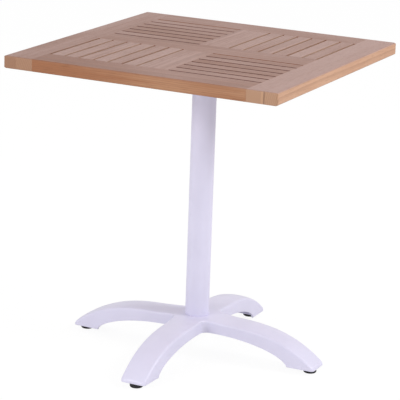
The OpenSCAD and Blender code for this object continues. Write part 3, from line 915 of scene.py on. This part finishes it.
def slat_panels():
    graph, size = geometry_tree("slat panels", slat_sizes)
    count = size["Slats in a panel"]
    index = graph.add("GeometryNodeInputIndex")
    panel = (index / count).maths("FLOOR")
    angle = panel * QUARTER_TURN
    x = size["First slat"] + (index % count) * size["Pitch"]
    spot = turned(graph, vector(graph, x * -1, size["Middle"] * -1, size["Level"]), angle)
    slats = instances(graph, count * size["Panels"], spot, slat_solid(graph, size), angle)
    heart = random_vector(graph, LOG_LOW, LOG_HIGH, size["Seed"])
    tone = random_number(graph, size["Darkest tone"], size["Palest tone"], size["Seed"] + 1)
    # Painted sheen: the panels whose slats run from front to back get a paler tone.
    tone = tone + (1 - panel % 2) * size["Painted sheen along Y"]
    slats = keep(graph, slats, "heart", "FLOAT_VECTOR", "INSTANCE", heart)
    slats = keep(graph, slats, "board", "FLOAT", "INSTANCE", tone)
    slats = keep(graph, slats, "along", "FLOAT_VECTOR", "INSTANCE", turned(graph, (0, 1, 0), angle))
    slats = graph.add("GeometryNodeRealizeInstances", None, {"Geometry": slats})
    grain = kept(graph, "grain") + kept(graph, "heart")
    return end_tree(graph, keep(graph, slats, "grain", "FLOAT_VECTOR", "POINT", grain), "teak_slat")


slat_mesh = run_tree(slat_panels(), slat_sizes)
slat_mesh.polygons.foreach_set("use_smooth", [True] * len(slat_mesh.polygons))
slat_nodes = [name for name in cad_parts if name.startswith("slat_")]
add_piece("slats", settle("slats", slat_mesh), "teak_slat", "tabletop", slat_nodes)

# %% [markdown]
# ## Turned pieces
#
# The column, the glides and the small round fittings are turned shapes. Cylinders with a bevel
# would come near them, but a profile of radius and height pairs, spun round an axis, gives domes,
# flanges and bores as well, and short arcs in the profile break the edges that catch the light.

# %% Turning a profile
ON_AXIS = 0.0001 * MM


def turn_profile(bm, profile, segments=96, place=None):
    """Adds the shape swept by a closed profile of (radius, height) pairs, in metres."""
    rings = []
    angles = [math.tau * k / segments for k in range(segments)]
    for r, height in profile:
        if r < ON_AXIS:
            rings.append([bm.verts.new((0, 0, height))] * segments)
        else:
            rings.append([bm.verts.new((r * math.cos(a), r * math.sin(a), height)) for a in angles])
    for lower, upper in zip(rings, rings[1:] + rings[:1]):
        for k in range(segments):
            corners = list(dict.fromkeys([lower[k - 1], lower[k], upper[k], upper[k - 1]]))
            if len(corners) > 2:
                bm.faces.new(corners)
    if place is not None:
        bmesh.ops.transform(bm, matrix=place, verts=list({vert for ring in rings for vert in ring}))


def arc(centre, radii, start, end, steps):
    """Points on an arc in a profile, with the angles in degrees."""
    angles = [math.radians(start + (end - start) * k / steps) for k in range(steps + 1)]
    return [(centre[0] + radii[0] * math.cos(a), centre[1] + radii[1] * math.sin(a)) for a in angles]


def turned_piece(name, profile, finish, body, nodes, segments=96, place=None):
    bm = bmesh.new()
    turn_profile(bm, profile, segments, place)
    return add_piece(name, settle(name, mesh_of(bm, name)), finish, body, nodes)


print("the lathe is ready")


# %% Eased rims, tubes and pins
def lower_rim(radius, level, ease):
    return arc((radius - ease, level + ease), (ease, ease), -90, 0, 3)


def upper_rim(radius, level, ease, steps=3):
    return arc((radius - ease, level - ease), (ease, ease), 0, 90, steps)


def tube_profile(outer, inner, low, high, ease):
    """A tube or washer with eased rims."""
    return lower_rim(outer, low, ease) + upper_rim(outer, high, ease) + [(inner, high), (inner, low)]


def pin_profile(radius, low, high, ease):
    return [(0, low)] + lower_rim(radius, low, ease) + upper_rim(radius, high, ease) + [(0, high)]


print("a rim is eased in", len(lower_rim(1, 0, 0.1)) - 1, "steps")

# %% [markdown]
# ## The column and the glides
#
# The column is a plain metal tube, and a glide is a rubber pad on a threaded stud. Both could be
# cylinders with a Bevel modifier, but that gives every rim one radius. A profile gives each its own:
# the tube's are barely eased where it meets the castings, and the pad's lower rim is well rounded,
# so that the table slides without catching.

# %% Column
COLUMN_WALL = 2.5 * MM
COLUMN_EASE = 0.4 * MM
column_lo, column_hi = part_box("column_tube")
column_radius = column_hi.x
turned_piece(
    "column",
    tube_profile(column_radius, column_radius - COLUMN_WALL, column_lo.z, column_hi.z, COLUMN_EASE),
    "white_metal", "base", ["column_tube"], segments=128,
)

# %% Glides
SIDES = ("right", "back", "left", "front")
GLIDE_FACE_RADIUS = 12 * MM
GLIDE_ROUND = 4 * MM
GLIDE_TOP_EASE = 1.0 * MM
STUD_HOLE = 4.02 * MM
STUD_DEPTH = 7 * MM


def glide_profile(radius, height):
    bulge = (radius - GLIDE_FACE_RADIUS, GLIDE_ROUND)
    return (
        [(0, 0)]
        + arc((GLIDE_FACE_RADIUS, GLIDE_ROUND), bulge, -90, 0, 6)
        + upper_rim(radius, height, GLIDE_TOP_EASE, steps=4)
        + [(STUD_HOLE, height), (STUD_HOLE, height - STUD_DEPTH), (0, height - STUD_DEPTH)]
    )


for side in SIDES:
    pad_lo, pad_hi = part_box(f"glide_pad_{side}")
    centre = (pad_lo + pad_hi) / 2
    turned_piece(
        f"glide_{side}", glide_profile((pad_hi.x - pad_lo.x) / 2, pad_hi.z), "black_rubber",
        f"glide_{side}", [f"glide_pad_{side}"],
        segments=64, place=Matrix.Translation((centre.x, centre.y, 0)),
    )

# %% Glide studs keep their shape and take the zinc finish
for side in SIDES:
    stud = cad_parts[f"glide_stud_{side}"]
    stud.data.materials.clear()
    stud.data.materials.append(finishes["zinc_steel"])
print(len(SIDES), "studs dressed")

# %% [markdown]
# ## The star base
#
# The base is one thin-walled casting. Its four arms leave the hub level, curve down and end in
# flat feet; they are crowned across, their edges are rounded, and they are hollow below. Arms that
# are joined by a Boolean would leave ragged triangles on these smooth, glossy faces. But the plan
# has a simple outline, so each point of the outline has its partner at any distance inside it.
# Rows of such partners make a clean grid of quads for the top, the walls and the hollow, with the
# height at each point worked out from the arm's own curves.

# %% Sizes of the star base
ARM = {
    "reach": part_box("star_base")[1].x,  # from the axis to the end of an arm
    "flat": 60 * MM,  # where an arm starts to taper and to fall
    "root": 37 * MM,  # half the width there, and at the tip
    "tip": 31.5 * MM,
    "hub": column_lo.z,  # the level of the crest at the hub, and at the tip
    "tip_z": 21.5 * MM,
    "bend": 3.1,  # how late the crest falls
    "under": column_lo.z - 30.5 * MM,  # the level of the walls' lower edge at the hub
    "foot": 12.5 * MM,  # the level of the foot's flat face, and where that starts
    "heel": 254 * MM,
    "under_bend": 1.22,  # how round the arch under an arm is
    "fillet": 18 * MM,  # round the corner between two arms, seen from above
    "tip_round": 8 * MM,
    "wall": 5 * MM,
    "skin": 6 * MM,
    "block": 270 * MM,  # how far the hollow reaches
    "block_round": 5 * MM,
    "edge": 5 * MM,  # the rounding between the top and the walls
    "edge_share": 0.65,  # and its largest share of an arm's thickness
    "crown": 4 * MM,  # how far the sides lie below the crest
    "crown_from": 40 * MM,
    "crown_run": 65 * MM,
}
ARM_TAPER = (ARM["root"] - ARM["tip"]) / (ARM["reach"] - ARM["flat"])
SLIVER = 0.001 * MM
print(f"an arm reaches {ARM['reach'] / MM:.0f} mm and tapers by {ARM_TAPER * 1000:.1f} mm a metre a side")


# %% Curves of an arm
def half_width(x):
    return ARM["root"] - ARM_TAPER * (x - ARM["flat"])


def fall(x, end):
    return max(0.0, (x - ARM["flat"]) / (end - ARM["flat"]))


def crest(x):
    return ARM["hub"] - (ARM["hub"] - ARM["tip_z"]) * fall(x, ARM["reach"]) ** ARM["bend"]


def ceiling(x):
    return crest(x) - ARM["skin"]


def underside(x):
    run = min(1.0, fall(x, ARM["heel"]))
    return ARM["foot"] + (ARM["under"] - ARM["foot"]) * (1 - run * run) ** (ARM["under_bend"] / 2)


def smooth(t):
    t = min(1.0, max(0.0, t))
    return t * t * (3 - 2 * t)


def skin_height(x, y, inset):
    """The top surface: the crest, less the crown to the side and the rounding near the edge."""
    crown = ARM["crown"] * smooth((x - ARM["crown_from"]) / ARM["crown_run"]) * (y / half_width(x)) ** 2
    room = crest(x) - crown - underside(x)
    depth = min(ARM["edge"], ARM["edge_share"] * room)
    rest = max(0.0, 1 - inset / ARM["edge"])
    return crest(x) - crown - depth * (1 - math.sqrt(max(0.0, 1 - rest * rest)))


print(f"at its heel an arm's crest is {crest(ARM['heel']) / MM:.1f} mm above the floor")

# %% Outline of an arm and its partners inside
FILLET_STEPS = 7
TIP_STEPS = 6
# Stations along an arm in mm. They crowd where the walls' lower edge drops to the heel.
SIDE_STATIONS = [40, 50, 60, 72, 84, 96, 108, 120, 132, 144, 156, 168, 179, 190, 200, 210, 219, 227,
                 234, 240, 245, 249, 252, 253.5, 254, 259, 265, 276, 288, 300]


def outline(inset, reach, tip_round):
    """One side of an arm from the diagonal to the middle of its tip, moved in by inset."""
    tilt = math.atan(ARM_TAPER)
    fillet = ARM["fillet"] + inset
    centre = (fillet * math.hypot(1, ARM_TAPER) + half_width(0) - inset) / (1 + ARM_TAPER)
    turn = math.radians(45) - tilt
    angles = [math.radians(225) + turn * k / FILLET_STEPS for k in range(FILLET_STEPS + 1)]
    points = [(centre + fillet * math.cos(a), centre + fillet * math.sin(a)) for a in angles]
    corner_x = reach - tip_round
    stations = [x * MM for x in SIDE_STATIONS if points[-1][0] < x * MM < corner_x - SLIVER]
    points += [(x, half_width(x) - inset) for x in stations]
    corner_y = half_width(corner_x) - tip_round
    if reach == ARM["reach"]:
        curl = tip_round - inset
    else:
        curl, corner_y = tip_round, corner_y - inset
    return points + arc((corner_x, corner_y), (curl, curl), 90, 0, TIP_STEPS)


def arm_outline(inset):
    return outline(inset, ARM["reach"], ARM["tip_round"])


def hollow_outline(inset):
    return outline(inset, ARM["block"], ARM["block_round"])


print(len(arm_outline(0)), "points on each side of an arm")

# %% Grids of quads
ARM_COLUMNS = 14


def add_grid(bm, rows):
    verts = [[bm.verts.new(point) for point in row] for row in rows]
    for row, following in zip(verts, verts[1:]):
        for k in range(len(row) - 1):
            bm.faces.new((row[k], row[k + 1], following[k + 1], following[k]))


def add_both_sides(bm, rows):
    add_grid(bm, rows)
    add_grid(bm, [[(x, -y, z) for x, y, z in row] for row in rows])


def across(point, height):
    """A row of points from one side of the arm to the other, at heights worked out from x and y."""
    x, side = point[:2]
    sides = [side * (2 * k / ARM_COLUMNS - 1) for k in range(ARM_COLUMNS + 1)]
    return [(x, y, height(x, y)) for y in sides]


def level_across(point):
    """A row of points from one side of the arm to the other, all as high as this one."""
    return across(point, lambda x, y: point[2])


print(ARM_COLUMNS, "quads across an arm")

# %% Top of an arm
RIM_INSETS = [0, 0.15, 0.6, 1.3, 2.2, 3.4, 5.0]


def add_top_of_arm(bm):
    insets = [inset * MM for inset in RIM_INSETS]
    lines = [arm_outline(inset) for inset in insets]
    columns = [zip(column, insets) for column in zip(*lines)]
    rim = [[(x, y, skin_height(x, y, inset)) for (x, y), inset in column] for column in columns]
    add_both_sides(bm, rim)
    add_grid(bm, [across(point, lambda x, y: skin_height(x, y, ARM["edge"])) for point in lines[-1]])
    tips = zip((line[-1] for line in lines), insets)
    add_grid(bm, [across(tip, lambda x, y, inset=inset: skin_height(x, y, inset)) for tip, inset in tips])


print(len(RIM_INSETS), "rows of quads round each rounded edge")

# %% Walls, rims and hollow of an arm
# Each pair is a distance in from the outline and a rise above the underside or the ceiling, in mm.
LOWER_EDGE = [(0, 1.0), (0.3, 0.3), (1.0, 0)]
INNER_EDGE = [(4.5, 0), (5.0, 0.5)]
CEILING_EDGE = [(5.0, -3.0), (5.25, -1.75), (5.9, -0.7), (8.0, 0)]


def wall_rows(levels, line_at, height):
    """Rows of points down a wall, one for each pair."""
    return [[(x, y, height(x) + rise * MM) for x, y in line_at(inset * MM)] for inset, rise in levels]


def add_walls_of_arm(bm):
    line = arm_outline(0)
    rows = wall_rows(LOWER_EDGE, arm_outline, underside)
    add_both_sides(bm, [[(x, y, skin_height(x, y, 0)) for x, y in line]] + rows)
    upper_tip = across(line[-1], lambda x, y: skin_height(x, y, 0))
    add_grid(bm, [upper_tip] + [level_across(row[-1]) for row in rows])
    return rows[-1]


def add_hollow_of_arm(bm):
    rows = wall_rows(INNER_EDGE, hollow_outline, underside)
    rows += wall_rows(CEILING_EDGE, hollow_outline, ceiling)
    add_both_sides(bm, rows)
    add_grid(bm, [level_across(row[-1]) for row in rows])
    add_grid(bm, [level_across(point) for point in rows[-1]])
    return rows[0]


print(len(INNER_EDGE + CEILING_EDGE), "rows of quads inside an arm")


# %% Underside of an arm
def add_underside_of_arm(bm, outer, inner):
    """The lower rims of both walls, and the flat face of the foot."""
    shared = sum(1 for x, _, _ in inner if x < ARM["block"] - ARM["block_round"] - SLIVER)
    foot_start = next(k for k, point in enumerate(outer) if point[0] > inner[shared - 1][0] + SLIVER)
    add_both_sides(bm, [[a, b] for a, b in zip(outer[:foot_start], inner[:shared])])
    rim, heel = outer[foot_start - 1:], inner[shared - 1:]
    loop = rim + level_across(rim[-1])[::-1][1:-1] + [(x, -y, z) for x, y, z in rim[::-1]]
    loop += [(x, -y, z) for x, y, z in heel] + level_across(heel[-1])[1:-1] + heel[::-1]
    bm.faces.new([bm.verts.new(point) for point in loop])


def arm_mesh():
    bm = bmesh.new()
    add_top_of_arm(bm)
    outer = add_walls_of_arm(bm)
    inner = add_hollow_of_arm(bm)
    add_underside_of_arm(bm, outer, inner)
    mesh = bpy.data.meshes.new("one_arm")
    bm.to_mesh(mesh)
    bm.free()
    return mesh


one_arm = arm_mesh()
print("one arm has", len(one_arm.polygons), "faces")

# %% Four arms make the casting
ARM_MERGE = 0.01 * MM


def add_square(bm, half, level):
    steps = [half * (2 * k / ARM_COLUMNS - 1) for k in range(ARM_COLUMNS + 1)]
    add_grid(bm, [[(x, y, level) for y in steps] for x in steps])


def star_base_mesh():
    bm = bmesh.new()
    for quarter in range(4):
        first = len(bm.verts)
        bm.from_mesh(one_arm)
        bm.verts.ensure_lookup_table()
        turn = Matrix.Rotation(QUARTER_TURN * quarter, 3, "Z")
        bmesh.ops.rotate(bm, verts=bm.verts[first:], matrix=turn)
    add_square(bm, arm_outline(ARM["edge"])[0][0], ARM["hub"])
    add_square(bm, hollow_outline(CEILING_EDGE[-1][0] * MM)[0][0], ceiling(0))
    bmesh.ops.remove_doubles(bm, verts=bm.verts, dist=ARM_MERGE)
    bmesh.ops.recalc_face_normals(bm, faces=bm.faces)
    print("open edges in the casting:", sum(1 for edge in bm.edges if not edge.is_manifold))
    return bm


casting = star_base_mesh()
bpy.data.meshes.remove(one_arm)

# %% Hub, boss and webs
BOSS_RADIUS = 20 * MM
BOSS_LEVEL = column_lo.z - 18 * MM
ROD_HOLE = 5.3 * MM
WEB = 5 * MM
SPIGOT_GAP = 0.2 * MM
HUB_EASE = 0.6 * MM
OVERLAP = 1 * MM


def add_block(bm, size, middle, angle):
    place = Matrix.Rotation(angle, 4, "Z") @ Matrix.Translation(middle) @ Matrix.Diagonal((*size, 1))
    bmesh.ops.create_cube(bm, size=1, matrix=place)


def add_inside_of_hub(bm):
    """The boss that the nut draws on, its four webs, and the spigot inside the column."""
    boss_top = ceiling(0) + OVERLAP
    turn_profile(bm, tube_profile(BOSS_RADIUS, ROD_HOLE, BOSS_LEVEL, boss_top, HUB_EASE), segments=64)
    spigot, spigot_top = column_radius - COLUMN_WALL - SPIGOT_GAP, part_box("star_base")[1].z
    turn_profile(bm, tube_profile(spigot, ROD_HOLE, column_lo.z - OVERLAP, spigot_top, HUB_EASE))
    start = BOSS_RADIUS - OVERLAP
    end = hollow_outline(ARM["wall"])[0][0] * math.sqrt(2) + OVERLAP
    size = (end - start, WEB, boss_top - BOSS_LEVEL)
    for quarter in range(4):
        middle = ((start + end) / 2, 0, (boss_top + BOSS_LEVEL) / 2)
        add_block(bm, size, middle, QUARTER_TURN / 2 + quarter * QUARTER_TURN)


add_inside_of_hub(casting)
star_mesh = settle("star_base", mesh_of(casting, "star_base"))
add_piece("star_casting", star_mesh, "white_metal", "base", ["star_base"])

# %% [markdown]
# ## The tilting head, the bracket and the latch
#
# These castings and the moulded lever sit under the top. They could be modelled again, but their
# shapes in the model are right, and only their edges are too sharp. So each piece is a copy of its
# node with the loose triangles merged and a small bevel on every edge that turns by more than 35
# degrees.

# %% Eased copies
COPY_MERGE = 0.001 * MM
FLAT_ANGLE = math.radians(0.5)
SHARP_ANGLE = math.radians(35)


def eased_copy(name, node, finish, body, radius):
    bm = bmesh.new()
    bm.from_mesh(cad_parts[node].data)
    bmesh.ops.remove_doubles(bm, verts=bm.verts, dist=COPY_MERGE)
    bmesh.ops.dissolve_limit(bm, angle_limit=FLAT_ANGLE, verts=bm.verts, edges=bm.edges)
    easing = {"width": radius, "segments": 2, "limit_method": "ANGLE", "angle_limit": SHARP_ANGLE}
    mesh = settle(name, mesh_of(bm, name), ("BEVEL", {**easing, "use_clamp_overlap": True}))
    return add_piece(name, mesh, finish, body, [node])


eased_copy("tilting_head", "pivot_head", "white_metal", "base", 0.8 * MM)
eased_copy("bracket", "top_bracket", "white_metal", "tabletop", 0.7 * MM)
eased_copy("latch", "latch_lever", "black_plastic", "latch", 0.8 * MM)
eased_copy("buffer", "rest_buffer", "black_rubber", "base", 0.6 * MM)

# %% [markdown]
# ## The small fittings
#
# Pins, bushes, the washer and the nut are small, but they show when the top stands upright. Each
# could be a plain cylinder. Their heads, flanges and eased ends make them read as metal parts, so
# they are turned on the same lathe, and those that lie along the pivot are laid on their side.

# %% Pivot pin and its ring
PIN_RADIUS = 6 * MM
PIN_HEAD = 3 * MM
PIN_EASE = 0.5 * MM
PIN_HEAD_EASE = 0.8 * MM
RING_GAP = 0.02 * MM
RING_EASE = 0.4 * MM


def lying(node):
    """Where a turned shape lies along a node's X axis, and from which X to which."""
    lo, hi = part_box(node)
    middle = (lo + hi) / 2
    place = Matrix.Translation((0, middle.y, middle.z)) @ Matrix.Rotation(QUARTER_TURN, 4, "Y")
    return place, lo.x, hi.x


place, low, high = lying("pivot_pin")
head_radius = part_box("pivot_pin")[1].z - place.translation.z
pin = (
    [(0, low)] + lower_rim(PIN_RADIUS, low, PIN_EASE)
    + [(PIN_RADIUS, high - PIN_HEAD), (head_radius, high - PIN_HEAD)]
    + upper_rim(head_radius, high, PIN_HEAD_EASE) + [(0, high)]
)
turned_piece("pin", pin, "zinc_steel", "tabletop", ["pivot_pin"], segments=64, place=place)
place, low, high = lying("pin_ring")
ring = tube_profile(head_radius, PIN_RADIUS + RING_GAP, low, high, RING_EASE)
turned_piece("ring", ring, "zinc_steel", "tabletop", ["pin_ring"], segments=64, place=place)

# %% Bushes
BUSH_FLANGE = 1.2 * MM
BUSH_RADIUS = 8.05 * MM
BUSH_BORE = 6.05 * MM
for side in ("left", "right"):
    place, low, high = lying(f"bush_{side}")
    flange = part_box(f"bush_{side}")[1].z - place.translation.z
    step = high - BUSH_FLANGE
    tube = [(BUSH_BORE, low), (BUSH_RADIUS, low), (BUSH_RADIUS, step), (flange, step), (flange, high),
            (BUSH_BORE, high)]
    if side == "left":
        tube = [(radius, low + high - height) for radius, height in tube][::-1]
    turned_piece(f"bush_on_{side}", tube, "nylon", "base", [f"bush_{side}"], segments=64, place=place)

# %% Latch pin
RIVET_HEAD = 1 * MM
RIVET_EASE = 0.5 * MM
LATCH_PIN_RADIUS = 3 * MM
place, low, high = lying("latch_pin")
rivet_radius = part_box("latch_pin")[1].z - place.translation.z
rivet = (
    [(0, low)] + lower_rim(rivet_radius, low, RIVET_EASE)
    + [(rivet_radius, low + RIVET_HEAD), (LATCH_PIN_RADIUS, low + RIVET_HEAD)]
    + [(LATCH_PIN_RADIUS, high - RIVET_HEAD), (rivet_radius, high - RIVET_HEAD)]
    + upper_rim(rivet_radius, high, RIVET_EASE) + [(0, high)]
)
turned_piece("latch_rivet", rivet, "zinc_steel", "tabletop", ["latch_pin"], segments=48, place=place)

# %% Tie rod, washer and nut
ROD_EASE = 0.8 * MM
WASHER_EASE = 0.3 * MM
NUT_EASE = 0.5 * MM
rod_lo, rod_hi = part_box("tie_rod")
rod = pin_profile(rod_hi.x, rod_lo.z, rod_hi.z, ROD_EASE)
turned_piece("rod", rod, "zinc_steel", "base", ["tie_rod"], segments=64)
washer_lo, washer_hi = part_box("tie_rod_washer")
washer = tube_profile(washer_hi.x, ROD_HOLE, washer_lo.z, washer_hi.z, WASHER_EASE)
turned_piece("washer", washer, "zinc_steel", "base", ["tie_rod_washer"], segments=64)
eased_copy("nut", "tie_rod_nut", "zinc_steel", "base", NUT_EASE)

# %% [markdown]
# ## Wood screws
#
# Twelve round-headed screws hold the bracket. Twelve copies by hand would drift apart with the
# first change. So one head is turned and cut with a cross, and a geometry tree sets it on points:
# two near the end of each of the bracket's arms and four round the middle.

# %% One screw
SCREW_RADIUS = 2.25 * MM
HEAD_RADIUS = 4.5 * MM
HEAD_HEIGHT = 2.6 * MM
SCREW_LENGTH = 18 * MM
SCREW_POINT = 3 * MM
CROSS = {"length": 4.6 * MM, "width": 0.9 * MM, "depth": 1.3 * MM}


def cross_cutter():
    bm = bmesh.new()
    size = (CROSS["length"], CROSS["width"], 2 * CROSS["depth"])
    for angle in (0, QUARTER_TURN):
        add_block(bm, size, (0, 0, -HEAD_HEIGHT), angle)
    return put_in_scene("cross", mesh_of(bm, "cross"))


def screw_master():
    """A screw whose head lies below the origin, with a cross recess."""
    bm = bmesh.new()
    dome = arc((0, 0), (HEAD_RADIUS, HEAD_HEIGHT), -90, 0, 8)
    shank = [(SCREW_RADIUS, 0), (SCREW_RADIUS, SCREW_LENGTH - SCREW_POINT), (0, SCREW_LENGTH)]
    turn_profile(bm, dome + shank, segments=32)
    head, cutter = put_in_scene("screw_master", mesh_of(bm, "screw_master")), cross_cutter()
    boolean = head.modifiers.new("cross", "BOOLEAN")
    boolean.object, boolean.operation, boolean.use_self = cutter, "DIFFERENCE", True
    mesh = evaluated_mesh(head)
    head.modifiers.clear()
    head.data = mesh
    bpy.data.objects.remove(cutter)
    return head


screw = screw_master()
print("one screw has", len(screw.data.polygons), "faces")

# %% Twelve screws
screw_sizes = {
    "Screw": screw,
    "Screws": 12,
    "Screws on arms": 8,
    "Arm distance": 138 * MM,
    "Side distance": 11 * MM,
    "Middle x": 35.5 * MM,
    "Middle y": 25.5 * MM,
    "Level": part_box("bracket_screws")[0].z + HEAD_HEIGHT,
    "Turn of each cross": 1.1,
}


def bracket_screws():
    graph, size = geometry_tree("bracket screws", screw_sizes)
    settings = {"transform_space": "ORIGINAL"}
    master = graph.add("GeometryNodeObjectInfo", settings, {"Object": size["Screw"]}, out="Geometry")
    index = graph.add("GeometryNodeInputIndex")
    arm, side = (index / 2).maths("FLOOR"), (index % 2) * 2 - 1
    on_arm = vector(graph, size["Arm distance"], side * size["Side distance"])
    on_arm = turned(graph, on_arm, arm * QUARTER_TURN)
    in_middle = vector(graph, ((arm % 2) * 2 - 1) * size["Middle x"], side * size["Middle y"])
    is_middle = index.maths("GREATER_THAN", size["Screws on arms"] - 0.5)
    spot = on_arm * (1 - is_middle) + in_middle * is_middle + vector(graph, z=size["Level"])
    screws = instances(graph, size["Screws"], spot, master, index * size["Turn of each cross"])
    return end_tree(graph, screws, "zinc_steel")


screws_mesh = run_tree(bracket_screws(), screw_sizes)
bpy.data.objects.remove(screw)
add_piece("wood_screws", screws_mesh, "zinc_steel", "tabletop", ["bracket_screws"])

# %% [markdown]
# ## The latch's spring
#
# A compression spring keeps the latch shut. Its wire could be a screw shape of even pitch, but a
# spring with closed ends rises slowly at both. So the tree bends the height of a spiral with a
# smooth step before it sweeps the wire.

# %% Spring
WIRE = 1.2 * MM
spring_lo, spring_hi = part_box("latch_spring")
spring_sizes = {
    "Turns": 6.0,
    "Steps in a turn": 24,
    "Sides of the wire": 8,
    "Coil radius": (spring_hi.x - spring_lo.x - WIRE) / 2,
    "Wire radius": WIRE / 2,
    "Height": spring_hi.z - spring_lo.z - WIRE,
    "Foot": spring_lo.z + WIRE / 2,
    "Offset": (spring_lo.y + spring_hi.y) / 2,
}


def latch_spring():
    graph, size = geometry_tree("latch spring", spring_sizes)
    inputs = {"Resolution": size["Steps in a turn"], "Rotations": size["Turns"], "Height": 0.0,
              "Start Radius": size["Coil radius"], "End Radius": size["Coil radius"]}
    spiral = graph.add("GeometryNodeCurveSpiral", None, inputs)
    share = graph.add("GeometryNodeSplineParameter", out="Factor")
    rise = size["Foot"] + ramp(graph, share, 0.0, 1.0) * size["Height"]
    inputs = {"Geometry": spiral, "Offset": vector(graph, 0.0, size["Offset"], rise)}
    spiral = graph.add("GeometryNodeSetPosition", None, inputs)
    inputs = {"Resolution": size["Sides of the wire"], "Radius": size["Wire radius"]}
    wire = graph.add("GeometryNodeCurvePrimitiveCircle", None, inputs)
    inputs = {"Curve": spiral, "Profile Curve": wire, "Fill Caps": True}
    return end_tree(graph, graph.add("GeometryNodeCurveToMesh", None, inputs), "zinc_steel")


spring_mesh = run_tree(latch_spring(), spring_sizes)
spring_mesh.polygons.foreach_set("use_smooth", [True] * len(spring_mesh.polygons))
spring = add_piece("spring", spring_mesh, "zinc_steel", "tabletop", ["latch_spring"])
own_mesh(spring)
